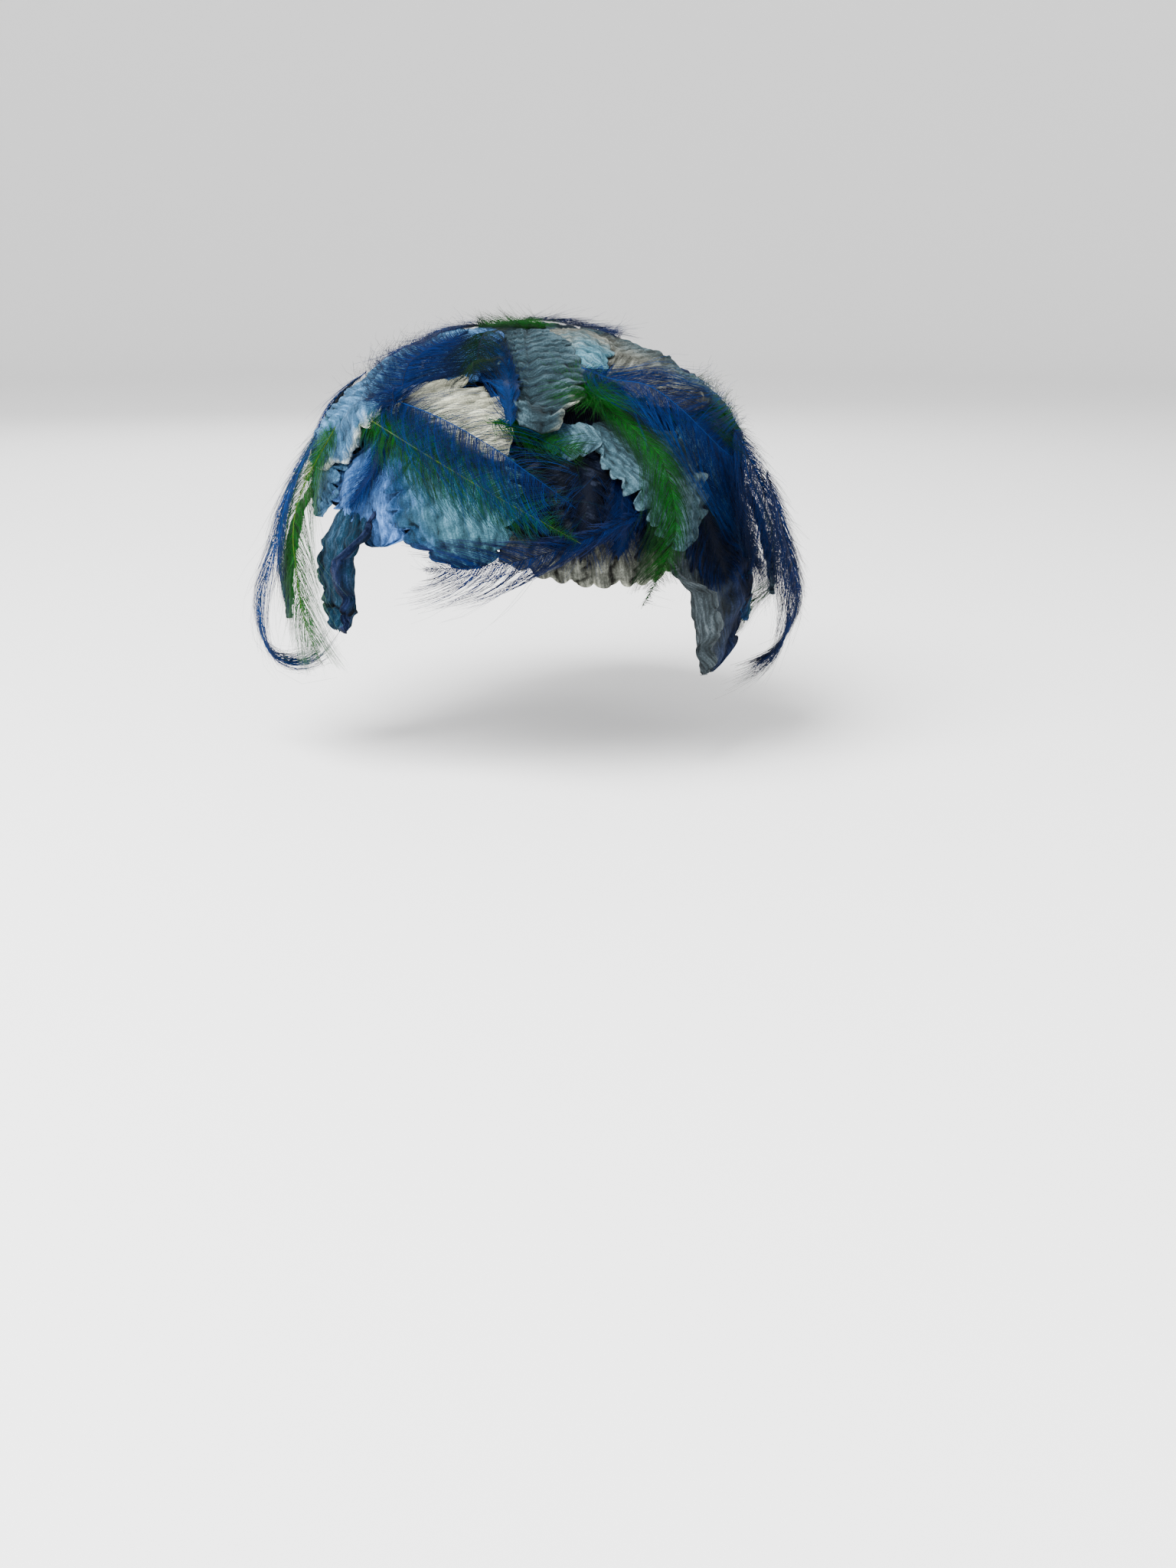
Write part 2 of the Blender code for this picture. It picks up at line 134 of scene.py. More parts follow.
class Velvet(NamedTuple):
    """The finish of one leaf. fade says from which side the second dye comes in, and how far."""

    node: str
    cut: Cut
    dye: str
    second: str
    fade: tuple  # (along, across, start, end)
    lobes: int
    ribs: int
    folds: float = 0.0  # soft grooves along the leaf, against the fold height
    pleats: float = 1.0  # ribs across the leaf, against the rib height
    sides: tuple = (1.0, 1.0)  # width left and right of the midline, against the solid's
    creases: tuple = ()  # shares of the length where a deep crease crosses the leaf
    tuck: float = 0.0  # how deep the root goes under its neighbours
    slant: float = 0.0  # how far each rib climbs from one edge to the other, as a share of the length


class Plume(NamedTuple):
    """The finish of one feather: barbs to a side, their angle off the quill and their reach."""

    name: str
    root: tuple
    tip: tuple
    width: float
    core: str
    outer: str
    quill: str
    barbs: int
    angle: float = 36.0
    reach: float = 1.1
    loose: float = 0.12  # share of the barbs that stand off
    down: int = 0
    vane: float = 0.0  # share of the width where the barbs hold together
    stout: float = 1.0
    quill_share: float = 1.0
    sides: tuple = (1.0, 1.0)  # reach left and right of the quill
    loft: float = 1.0  # how high the barbs stand, against the loft of the settings
    counts: tuple = (1.0, 1.0)  # barbs left and right of the quill, against the number of barbs
    late: float = 0.0  # how much shorter the barbs near the root are
    tuft: float = 0.004  # length of the down round the root
    tuft_turns: tuple = (-1.0, 1.0)  # half turns off the quill between which the down points
    raised: float = 0.0  # how far past its root the whole feather stands over the leaf under it
    bow: float = 0.0
    sweep: tuple = FLAT

    @property
    def node(self):
        return "feather_" + self.name

    @property
    def cut(self):
        return Cut(FEATHER, self.root, self.tip, self.width, self.bow, self.sweep)


VELVETS = (
    # The hem leaf's creases dent it and are painted dark as shade.
    Velvet("leaf_hem_nape", Cut(HEM_LEAF, (-6, 86), (42, 92), 0.022), "taupe", "cream", (0, -1, 0.8, 1.7),
           9, 9, pleats=0.6, creases=(0.16, 0.3, 0.43, 0.58, 0.72, 0.86)),
    # The ink of this leaf is partly its own dark navy and partly painted shade, for the shade it lies in
    # under the nape feathers and leaves.
    Velvet("leaf_nape_ink", Cut(PLAIN_LEAF, (10, 52), (12, 87), 0.058), "ink", "deep_blue",
           (0, 1, -0.1, 1.3), 6, 12, folds=1.0),
    Velvet("leaf_nape_blue", Cut(LEAF, (-43, 54), (-38, 88), 0.050), "periwinkle", "azure",
           (-1, 0, -0.55, 0.1), 7, 10, folds=1.0, pleats=0.4, sides=(1.15, 1.1)),
    Velvet("leaf_nape_teal", Cut(LEAF, (-20, 54), (-12, 92), 0.052), "teal", "azure", (0, -1, 0.1, 1.0), 7,
           10, folds=0.9, pleats=0.4, sides=(1.0, 0.78)),
    Velvet("leaf_side_right", Cut(PLAIN_LEAF, (62, 52), (64, 90), 0.054), "teal", "deep_blue",
           (0, 1, -0.5, 0.8), 6, 12, sides=(1.0, 1.2)),
    Velvet("leaf_side_left", Cut(PLAIN_LEAF, (-74, 52), (-70, 84), 0.048), "sky", "teal",
           (0, -1, -0.3, 0.7), 6, 9, 0.5, 0.6),
    Velvet("leaf_front_1", Cut(PLAIN_LEAF, (98, 46), (98, 92), 0.056), "teal", "deep_blue",
           (0, 1, -0.5, 0.8), 6, 12),
    Velvet("leaf_front_5", Cut(PLAIN_LEAF, (-106, 46), (-106, 80), 0.056), "cream", "sky",
           (0, 1, -0.5, 0.8), 6, 12),
    Velvet("leaf_front_2", Cut(PLAIN_LEAF, (132, 44), (132, 88), 0.058), "teal", "sky", (0, 1, -0.5, 0.8),
           6, 12),
    Velvet("leaf_front_4", Cut(PLAIN_LEAF, (-142, 44), (-142, 80), 0.058), "slate", "cream",
           (1, 0, 0.4, 1.0), 6, 12),
    Velvet("leaf_front_3", Cut(PLAIN_LEAF, (174, 42), (174, 82), 0.060), "periwinkle", "teal",
           (0, 1, -0.5, 0.8), 6, 12),
    Velvet("ear_leaf_right_front", Cut(SMALL_LEAF, (70, 84), (72, 118), 0.028, 0, (14, 8, 0, 0)), "azure",
           "teal", (0, 1, -0.5, 0.9), 5, 9, folds=0.6, pleats=0.6),
    Velvet("ear_leaf_left_front", Cut(SMALL_LEAF, (-80, 76), (-76, 118), 0.028, 0, (22, 12, 0, 0)), "slate",
           "taupe", (-1, 0, -0.6, 0.1), 5, 9, folds=0.6, pleats=0.6),
    Velvet("ear_leaf_right", Cut(ROLLED_LEAF, (45, 82), (49, 129), 0.050, 0, (6, 6, 0, 0), -1, 0.0055),
           "ash", "deep_blue", (0, 1, 0.0, 0.7), 7, 9, folds=0.8, pleats=0.35, sides=(1.0, 1.6)),
    # The rolled side of this leaf fades into deep blue as painted shade, and its crease at 0.8 is painted
    # dark as the shadowed slit above the curled tip.
    Velvet("ear_leaf_left", Cut(ROLLED_LEAF, (-47, 74), (-45, 116), 0.038, 0, (4, 4, 0, 60), 1, 0.0044),
           "lagoon", "deep_blue", (0, 1, 0.25, 0.8), 5, 6, folds=1.0, pleats=0.25, creases=(0.8,),
           tuck=0.0035),
    # The near-black ink of this far leaf is painted shade, for the shade it lies in beyond the right ear
    # leaf.
    Velvet("ear_leaf_right_far", Cut(SMALL_LEAF, (84, 78), (86, 114), 0.026, 0, (24, 18, 8, 0)), "ink",
           "slate", (1, 0, 0.4, 0.9), 5, 9),
    Velvet("leaf_crown_front", Cut(PLAIN_LEAF, (4, 16), (172, 50), 0.066), "slate", "teal",
           (1, 0, 0.2, 0.9), 6, 12),
    Velvet("leaf_crown_left", Cut(PLAIN_LEAF, (-60, 10), (-44, 48), 0.050), "sky", "periwinkle",
           (0, 1, -0.5, 0.9), 6, 12),
    Velvet("leaf_crown_side", Cut(PLAIN_LEAF, (-122, 16), (-112, 54), 0.060), "sky", "teal",
           (0, 1, -0.5, 0.9), 6, 12),
    Velvet("leaf_crown_right", Cut(PLAIN_LEAF, (112, 16), (108, 54), 0.062), "slate", "taupe",
           (0, 1, -0.5, 0.9), 6, 12),
    Velvet("leaf_ivory_left", Cut(LEAF, (-48, 49), (-5, 65), 0.040), "cream", "azure",
           (-0.6, -1, -0.5, 0.0), 6, 12, sides=(0.5, 1.1)),
    Velvet("leaf_right_edge", Cut(LEAF, (70, 34), (76, 70), 0.042), "slate", "deep_blue", (0, 1, -0.5, 0.9),
           6, 12),
    Velvet("leaf_right_lobed", Cut(LEAF, (22, 52), (40, 89), 0.046, 0.03), "stone", "slate",
           (0, 1, -0.2, 0.8), 9, 14, folds=0.4, pleats=0.6, sides=(0.72, 0.95)),
    Velvet("leaf_small_lobe", Cut(SMALL_LEAF, (21, 60), (5, 57), 0.015), "azure", "stone",
           (-1, 0, -0.9, -0.3), 3, 6, 0.0, 0.6),
    Velvet("leaf_left_edge", Cut(SMALL_LEAF, (-86, 44), (-82, 76), 0.034), "cream", "sky",
           (-1, 0, -0.6, 0.0), 5, 9),
    Velvet("leaf_left_upper", Cut(LEAF, (-70, 27), (-72, 70), 0.036, 0.14), "sky", "cream",
           (0, 1, 0.75, 1.3), 7, 14, folds=0.5, sides=(1.0, 1.5)),
    Velvet("leaf_taupe_right", Cut(LEAF, (72, 16), (56, 56), 0.038), "taupe", "slate", (0, 1, -0.2, 0.8), 6,
           14),
    Velvet("leaf_pale_right", Cut(SMALL_LEAF, (62, 15), (17, 38), 0.028), "teal", "taupe",
           (-1, 0, -0.6, -0.1), 4, 9),
    Velvet("leaf_slate_centre", Cut(LEAF, (2, 59), (4, 15), 0.042), "slate", "cream", (-1, -0.5, 0.15, 0.9),
           5, 15, pleats=1.4, sides=(0.9, 0.5), slant=0.05),
)

PLUMES = (
    Plume("nape_1", (16, 66), (13, 91), 0.020, "navy", "royal", "navy", 90, 20, 0.9, vane=0.5,
          quill_share=0.85),
    Plume("nape_2", (24, 68), (23, 91), 0.018, "royal", "navy", "navy", 90, 20, 0.9, vane=0.5,
          quill_share=0.85),
    Plume("nape_3", (32, 70), (32, 90), 0.018, "navy", "royal", "navy", 90, 20, 0.9, vane=0.5,
          quill_share=0.85),
    Plume("hem_sweep", (30, 77), (-26, 93), 0.030, "royal", "wisp", "navy", 260, 16, 1.3, down=20,
          sides=(0.55, 0.85), counts=(0.6, 1.0), late=0.8, bow=0.06),
    Plume("side_right_1", (47, 62), (56, 103), 0.028, "navy", "royal", "navy", 200, 20, vane=1.0,
          quill_share=0.95, bow=-0.02),
    Plume("side_right_2", (60, 60), (76, 104), 0.028, "royal", "navy", "navy", 280, 20, 1.4, vane=0.7,
          quill_share=0.9, stout=1.4, loft=6.0, bow=0.06),
    Plume("blue_lock", (-40, 57), (-46, 79), 0.014, "royal", "blue", "navy", 110, 12, 1.0, vane=0.3,
          bow=0.08),
    Plume("green_sweep", (-52, 55), (12, 85), 0.036, "green", "blue_green", "lime", 360, 38, 1.15, down=60,
          sides=(0.55, 0.7), counts=(1.0, 0.7), bow=-0.02),
    Plume("moss_centre", (-8, 56), (16, 64), 0.016, "green", "moss", "moss", 90, 26, 0.8, down=90),
    Plume("blue_sweep", (-45, 51), (11, 77), 0.026, "royal", "blue", "blue", 280, 30, 1.5, down=50,
          sides=(0.8, 0.6), counts=(1.0, 0.25), bow=0.02),
    Plume("green_edge", (50, 52), (82, 64), 0.022, "green", "moss", "moss", 200, 34, 1.4, down=80,
          loft=3.0),
    Plume("green_right", (19, 41), (30, 106), 0.028, "green", "moss", "moss", 320, 24, 0.8, down=640,
          sides=(0.85, 0.5), tuft=0.012, tuft_turns=(-0.7, 1.1), bow=0.10),
    Plume("blue_right", (25, 36), (82, 80), 0.030, "royal", "blue", "blue", 440, 24, 1.25, down=20,
          sides=(1.1, 1.15), counts=(1.0, 0.8), bow=-0.17),
    Plume("blue_crown_left", (-36, 54), (-52, 17), 0.040, "royal", "navy", "navy", 340, 54, 1.2, loose=0.24,
          down=20, sides=(1.2, 0.8), loft=2.0, bow=0.12),
    Plume("royal_upright", (-3, 59), (-14, 24), 0.015, "blue", "royal", "royal", 170, 14, vane=0.45,
          sides=(0.3, 1.0), bow=-0.02),
    Plume("moss_left", (-27, 15), (-13, 49), 0.013, "moss", "navy", "navy", 120, 26, 1.7, bow=-0.05),
    Plume("crown_green", (40, 9), (-60, 13), 0.018, "green", "moss", "moss", 170, 50, 1.4, loose=0.3,
          down=80, loft=2.5),
    Plume("crown_right", (-170, 8), (76, 26), 0.018, "navy", "royal", "navy", 150, 30, 1.4, loose=0.2,
          loft=2.5),
    Plume("crown_left", (-140, 16), (-84, 40), 0.022, "royal", "blue", "navy", 180, 40, 1.5, loose=0.3,
          vane=0.8, loft=2.2),
    Plume("front_1", (104, 42), (106, 92), 0.026, "blue", "navy", "navy", 150, vane=0.3, raised=0.0018),
    Plume("front_2", (140, 40), (134, 86), 0.026, "green", "moss", "lime", 150, vane=0.3, raised=0.0018),
    Plume("front_3", (-172, 36), (-164, 80), 0.026, "royal", "navy", "navy", 150, vane=0.3, raised=0.0018),
    Plume("front_4", (-132, 40), (-126, 82), 0.026, "green", "moss", "lime", 150, vane=0.3, raised=0.0018),
    Plume("front_5", (-98, 44), (-98, 88), 0.026, "blue", "wisp", "blue", 150, vane=0.3, raised=0.0018),
    Plume("left_fall", (-72, 60), (-74, 112), 0.018, "blue", "wisp", "blue", 120, 11, stout=1.4,
          sweep=(8, 12, 0, -25)),
    Plume("left_green", (-62, 60), (-50, 126), 0.022, "green", "pale_green", "lime", 300, 24, 1.4,
          loose=0.2, down=60, stout=0.9, bow=-0.07, sweep=(8, 10, 0, -10)),
    Plume("left_hook", (-66, 62), (-76, 146), 0.018, "blue", "wisp", "navy", 160, 8, 1.2, loose=0.24,
          sides=(1.3, 1.2), stout=1.4, sweep=(12, 18, -20, -150)),
    Plume("right_sweep", (66, 63), (80, 112), 0.020, "royal", "navy", "navy", 260, 12, 1.2, loose=0.2,
          sides=(2.8, 1.2), stout=1.9, loft=2.0, sweep=(10, 18, 16, 8)),
    Plume("right_hook", (72, 75), (80, 138), 0.018, "royal", "navy", "navy", 220, 9, 1.2, loose=0.2,
          sides=(2.4, 1.2), stout=1.9, loft=2.0, sweep=(8, 14, -16, -70)),
    Plume("right_green_hook", (88, 70), (95, 132), 0.016, "green", "navy", "navy", 120, 9, 1.3, loose=0.2,
          stout=1.6, sweep=(4, 8, -12, -60)),
)

EAR_LEAVES = tuple(look for look in VELVETS if look.node.startswith("ear_"))
CAP_LEAVES = tuple(look for look in VELVETS if not look.node.startswith("ear_"))
LOOSE_PLUMES = tuple(look for look in PLUMES if look.sweep != FLAT)
CAP_PLUMES = tuple(look for look in PLUMES if look.sweep == FLAT)


def linear(red, green, blue):
    """A dye given in 0-255 steps, as the linear colour that shaders use."""
    steps = [value / 255.0 for value in (red, green, blue)]
    return tuple(s / 12.92 if s <= 0.04045 else ((s + 0.055) / 1.055) ** 2.4 for s in steps)


DYES = {
    "shell": linear(8, 14, 34),
    "periwinkle": linear(54, 88, 136),
    "azure": linear(16, 48, 82),
    "deep_blue": linear(7, 20, 48),
    "lagoon": linear(12, 40, 58),
    "sky": linear(54, 90, 120),
    "teal": linear(56, 94, 108),
    "slate": linear(34, 51, 58),
    "stone": linear(50, 74, 84),
    "ash": linear(48, 56, 60),
    "cream": linear(162, 164, 144),
    "taupe": linear(74, 76, 70),
    "ink": linear(2, 7, 18),
    "royal": linear(0, 24, 70),
    "blue": linear(2, 42, 92),
    "navy": linear(0, 8, 28),
    "wisp": linear(24, 34, 70),
    "green": linear(5, 68, 8),
    "moss": linear(2, 30, 10),
    "lime": linear(66, 92, 20),
    "pale_green": linear(62, 90, 68),
    "blue_green": linear(4, 44, 54),
}

# Where the leaves stand fuller than the solids: around, down, how wide and how tall (degrees), how high.
FULLER_PLACES = (
    (0.0, 0.0, 1e6, 40.0, 0.0028),
    (-85.0, 42.0, 40.0, 20.0, 0.0030),
    (88.0, 56.0, 34.0, 18.0, 0.0065),
)


def unit(vectors):
    return vectors / np.maximum(np.linalg.norm(vectors, axis=-1, keepdims=True), 1e-12)


def direction_of(around_deg, down_deg):
    """The direction from the dome's centre."""
    around, down = np.radians(around_deg), np.radians(down_deg)
    x = -np.sin(down) * np.sin(around)
    y = np.sin(down) * np.cos(around)
    return np.stack([x, y, np.cos(down) + 0 * x], axis=-1)


def dome_point(directions, height):
    """Points at a height off the dome, and the directions square to it there."""
    directions = np.asarray(directions, float)
    height = np.asarray(height, float)[..., None]
    above = np.clip(directions[..., 2:], 0.0, 1.0)
    below = directions[..., 2:] < 0
    flat = np.where(below, unit(directions[..., :2] + 1e-12), directions[..., :2])
    drop = np.where(below, np.arcsin(np.clip(directions[..., 2:], -1.0, 0.0)), 0.0)
    semi_axes = np.array([DOME_HALF_WIDTH, DOME_HALF_DEPTH, CROWN_HEIGHT])
    spread = np.concatenate([flat, above], axis=-1)
    surface = spread * semi_axes
    surface[..., 2:] += CROWN_HEIGHT * (drop - 1.0)
    normals = unit(spread / semi_axes)
    return surface + normals * height, normals


def fuller(directions):
    """The height that every leaf and feather gains at a place, so that all of them keep their order."""
    around = np.degrees(np.arctan2(-directions[..., 0], directions[..., 1]))
    down = np.degrees(np.arccos(np.clip(directions[..., 2], -1.0, 1.0)))
    gained = 0.0 * down
    for middle, level, wide, tall, height in FULLER_PLACES:
        turned = (around - middle + 180.0) % 360.0 - 180.0
        gained += height * np.exp(-((turned / wide) ** 2) - ((down - level) / tall) ** 2)
    return gained


class Path:
    """The midline of a trimming, laid over the dome from its root to its tip."""

    def __init__(self, cut):
        root, tip = direction_of(*cut.root), direction_of(*cut.tip)
        turn = math.acos(float(root @ tip))
        share = np.linspace(0.0, 1.0, PATH_STEPS + 1)[:, None]
        straight = (root * np.sin((1.0 - share) * turn) + tip * np.sin(share * turn)) / math.sin(turn)
        level = unit(np.cross(root, tip))
        self.places = unit(straight + level * cut.bow * turn * np.sin(math.pi * share))
        self.sides = unit(np.cross(self.places, np.gradient(self.places, axis=0)))
        level_ground = np.zeros(PATH_STEPS + 1)
        surface = dome_point(self.places, level_ground)[0]
        beside = dome_point(unit(self.places + self.sides * SMALL_TURN), level_ground)[0]
        self.strides = np.linalg.norm(beside - surface, axis=1) / SMALL_TURN
        steps = np.linalg.norm(np.diff(surface, axis=0), axis=1)
        self.distance = np.concatenate([[0.0], np.cumsum(steps)])
        self.length = self.distance[-1]

    def directions(self, along, across):
        """Directions of points a distance along the midline and a distance to its side."""

        def at(values):
            return np.stack([np.interp(along, self.distance, column) for column in values.T], axis=-1)

        place, side = unit(at(self.places)), unit(at(self.sides))
        angle = (across / np.interp(along, self.distance, self.strides))[..., None]
        ahead = np.cross(side, place)
        past = (along - np.clip(along, 0.0, self.length))[..., None] / DOME_HALF_DEPTH
        return unit(place * np.cos(angle) + side * np.sin(angle) + ahead * past)


def eased(grid, row, column):
    """The grid's value between its corners, on a smooth curve through them."""

    def around(position, count):
        low = np.clip(np.floor(position).astype(int), 0, count - 2)
        t = np.clip(position - low, 0.0, 1.0)
        weights = (
            (-t + 2 * t**2 - t**3) / 2,
            (2 - 5 * t**2 + 3 * t**3) / 2,
            (t + 4 * t**2 - 3 * t**3) / 2,
            (-(t**2) + t**3) / 2,
        )
        return [(np.clip(low + step - 1, 0, count - 1), weight) for step, weight in enumerate(weights)]

    rows, columns = around(row, grid.shape[0]), around(column, grid.shape[1])
    return sum(grid[r, c] * wr * wc for r, wr in rows for c, wc in columns)


class Lay:
    """A trimming lying on the cap: a place along it and across it gives a point in space."""

    def __init__(self, node, cut, raised=0.0):
        self.cut, self.style, self.path, self.raised = cut, cut.style, Path(cut), raised
        self.length = self.path.length
        steps = np.linspace(0.0, 1.0, PATH_STEPS + 1)
        self.steps = steps
        self.angles = np.radians(np.interp(steps, (0.0, SEWN_SHARE, 0.5, 0.75, 1.0), (0.0, *cut.sweep)))
        step = self.length / PATH_STEPS
        self.alongs = np.concatenate([[0.0], np.cumsum(np.cos(self.angles[:-1]) * step)])
        self.rises = np.concatenate([[0.0], np.cumsum(np.sin(self.angles[:-1]) * step)])
        self.settled = self.read_solid(frame["nodes"][node])

    def half(self, share):
        return self.cut.width / 2.0 * np.interp(share, *zip(*self.style.outline))

    def cup(self, share, side):
        inside = np.clip(np.abs(side), 0.0, 1.0)
        return self.style.cup * (1.0 - inside**2) * np.sin(math.pi * np.clip(share, 0.0, 1.0))

    def leaned(self, share, side, half):
        return share + self.style.lean * np.abs(side) * half / self.length * (1.0 - share)

    def rise(self, share):
        """Distance along the dome, height and turn of the midline at a share of its length."""
        past = (share - np.clip(share, 0.0, 1.0)) * self.length
        along = np.interp(share, self.steps, self.alongs) + past * math.cos(self.angles[-1])
        height = np.interp(share, self.steps, self.rises) + past * math.sin(self.angles[-1])
        return along, height, np.interp(share, self.steps, self.angles)

    def rolled(self, share, side, half):
        """Distance to the side, height and turn, for a sheet whose one edge rolls up below its root."""
        rolled_side, radius = self.cut.rolled_side, self.cut.roll_radius
        flat_share = 1.0 - (1.0 - FLAT_SHARE) * np.clip(share / ROLLED_FROM, 0.0, 1.0)
        rolled = np.maximum(0.0, side * rolled_side - flat_share) * half
        angle = rolled / radius
        across = side * half - rolled_side * (rolled - radius * np.sin(angle))
        return across, radius * (1.0 - np.cos(angle)), angle * rolled_side

    def read_solid(self, node):
        """How high the solid's corners lie, with its ribs, cup, sweep and roll taken away."""
        style = self.style
        corners = np.empty(len(node.data.vertices) * 3)
        node.data.vertices.foreach_get("co", corners)
        corners = corners.reshape(-1, 3)
        share = np.linspace(0.0, 1.0, style.rows + 1)[:, None]
        side = np.linspace(-1.0, 1.0, style.columns + 1)[None, :]
        notched = (np.arange(style.rows + 1) % 2 == 0)[:, None]
        half = self.half(share) * (1.0 - style.notch * notched * np.abs(side) ** 4)
        along, rise, turn = self.rise(self.leaned(share, side, half))
        across, roll, roll_turn = self.rolled(share, side, half)
        base, normals = dome_point(self.path.directions(along, across), np.zeros(along.shape))
        away = corners - base[..., None, :]
        heights = (away * normals[..., None, :]).sum(axis=-1)
        beside = np.linalg.norm(away - heights[..., None] * normals[..., None, :], axis=-1)
        under = np.where(beside < CORNER_SLACK, heights, np.inf).min(axis=-1)
        rib = style.rib * np.where(notched, -1.0, 1.0) * np.abs(side)
        settled = under - rise - roll - rib - self.cup(share, side)
        settled[(turn < STEEP) | (np.cos(roll_turn) < TURNED_UNDER)] = np.inf
        return self.filled(settled)

    @staticmethod
    def filled(settled):
        """Corners that could not be read take the height of the nearest row and column that could."""
        for row in range(settled.shape[0]):
            read = np.isfinite(settled[row])
            if read.any():
                known = np.flatnonzero(read)
                settled[row] = np.interp(np.arange(settled.shape[1]), known, settled[row][known])
            else:
                settled[row] = settled[row - 1]
        return settled

    def sheet(self, share, side, half, lift):
        """Points of a leaf: share of the length, share of the half width, and height off the under face."""
        along, rise, turn = self.rise(self.leaned(share, side, half))
        across, roll, roll_turn = self.rolled(share, side, half)
        along = along - lift * np.sin(turn)
        across = across - lift * np.sin(roll_turn)
        seat = self.seat(share, side * half / self.half(share))
        height = seat + rise + roll + lift * np.cos(turn) * np.cos(roll_turn)
        places = self.path.directions(along, across)
        return dome_point(places, height + fuller(places))

    def strand(self, share, across, lift):
        """Points of a feather: share of the length, distance to the side, and height off the under face."""
        along, rise, turn = self.rise(share)
        side = across / np.maximum(self.half(share), 1e-5)
        raised = self.raised * np.clip(share / RAISED_SHARE, 0.0, 1.0)
        height = self.seat(share, side) + rise + lift * np.cos(turn) + raised
        places = self.path.directions(along - lift * np.sin(turn), across)
        return dome_point(places, height + fuller(places))

    def seat(self, share, side):
        rows, columns = np.array(self.settled.shape) - 1
        row = np.clip(share, 0.0, 1.0) * rows
        column = (np.clip(side, -1.0, 1.0) + 1.0) / 2.0 * columns
        return eased(self.settled, row, column) + self.cup(share, side)


def add_object(name, data):
    """A new object in the scene."""
    made = bpy.data.objects.new(name, data)
    bpy.context.scene.collection.objects.link(made)
    return made


def add_solid(mesh, shape, material):
    """A new object whose mesh takes its shape from a bmesh."""
    shape.to_mesh(mesh)
    shape.free()
    mesh.shade_smooth()
    mesh.materials.append(material)
    return add_object(mesh.name, mesh)


class Shape:
    """A mesh in the making, with values that its material reads."""

    def __init__(self):
        self.points, self.faces, self.values = [], [], []
        self.count = 0

    def add(self, points, faces, **values):
        """Adds closed bodies: their points, the faces of them, and one value a point for each name."""
        points = points.reshape(-1, 3)
        self.points.append(points)
        self.faces.extend(tuple(corner + self.count for corner in face) for face in faces)
        self.values.append({name: np.broadcast_to(value, len(points)) for name, value in values.items()})
        self.count += len(points)

    def finish(self, name, material):
        mesh = bpy.data.meshes.new(name)
        mesh.from_pydata(np.concatenate(self.points).tolist(), [], self.faces)
        for key in self.values[0]:
            attribute = mesh.attributes.new(key, "FLOAT", "POINT")
            values = np.concatenate([part[key] for part in self.values])
            attribute.data.foreach_set("value", values.astype(np.float32))
        shape = bmesh.new()
        shape.from_mesh(mesh)
        bmesh.ops.recalc_face_normals(shape, faces=shape.faces)
        piece = add_solid(mesh, shape, material)
        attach(piece, "root")
        return piece


def grid_pattern(rows, columns):
    """A flat closed sheet: which row, column and face each of its points belongs to, and its faces."""
    sheet = bmesh.new()
    bmesh.ops.create_grid(sheet, x_segments=columns, y_segments=rows, size=1.0)
    raised = bmesh.ops.extrude_face_region(sheet, geom=sheet.faces[:], use_keep_orig=True)
    top = [part for part in raised["geom"] if isinstance(part, bmesh.types.BMVert)]
    bmesh.ops.translate(sheet, verts=top, vec=(0, 0, 1))
    places = np.array([vert.co for vert in sheet.verts])
    faces = [tuple(vert.index for vert in face.verts) for face in sheet.faces]
    sheet.free()
    row = np.rint((places[:, 1] + 1.0) / 2.0 * rows).astype(int)
    column = np.rint((places[:, 0] + 1.0) / 2.0 * columns).astype(int)
    return row, column, np.rint(places[:, 2]).astype(int), faces


def strand_pattern(sides, rings):
    """A tapered closed strand, one unit long: its ring, its offsets from the middle line, and its faces."""
    strand = bmesh.new()
    bmesh.ops.create_cone(strand, cap_ends=True, segments=sides, radius1=1.0, radius2=0.3, depth=1.0)
    long_edges = [edge for edge in strand.edges if abs(edge.verts[0].co.z - edge.verts[1].co.z) > 0.5]
    bmesh.ops.subdivide_edges(strand, edges=long_edges, cuts=rings - 2, use_grid_fill=False)
    places = np.array([vert.co for vert in strand.verts])
    faces = [tuple(vert.index for vert in face.verts) for face in strand.faces]
    strand.free()
    return np.rint((places[:, 2] + 0.5) * (rings - 1)).astype(int), places[:, :2], faces


BARB_SIDES, BARB_RINGS, FLUFF_RINGS = 3, 6, 4
QUILL_SIDES, QUILL_RINGS = 6, 40
BARB_PATTERN = strand_pattern(BARB_SIDES, BARB_RINGS)
FLUFF_PATTERN = strand_pattern(BARB_SIDES, FLUFF_RINGS)
QUILL_PATTERN = strand_pattern(QUILL_SIDES, QUILL_RINGS)


def add_strands(shape, pattern, curves, normals, width, depth, **values):
    """Adds one strand along each curve. Values are given for each curve or each point of each curve."""
    ring, offsets, faces = pattern
    ahead = unit(np.gradient(curves, axis=1))
    across = unit(np.cross(ahead, normals))
    up = np.cross(across, ahead)
    wide = np.broadcast_to(np.asarray(width)[..., None], curves.shape[:1] + (1,))
    deep = np.broadcast_to(np.asarray(depth)[..., None], curves.shape[:1] + (1,))
    points = (
        curves[:, ring]
        + across[:, ring] * (wide * offsets[:, 0])[..., None]
        + up[:, ring] * (deep * offsets[:, 1])[..., None]
    )
    each = len(ring)
    starts = range(0, len(curves) * each, each)
    all_faces = [tuple(corner + start for corner in face) for start in starts for face in faces]
    for name, value in values.items():
        values[name] = np.broadcast_to(value, curves.shape[:2])[:, ring].reshape(-1)
    shape.add(points, all_faces, **values)


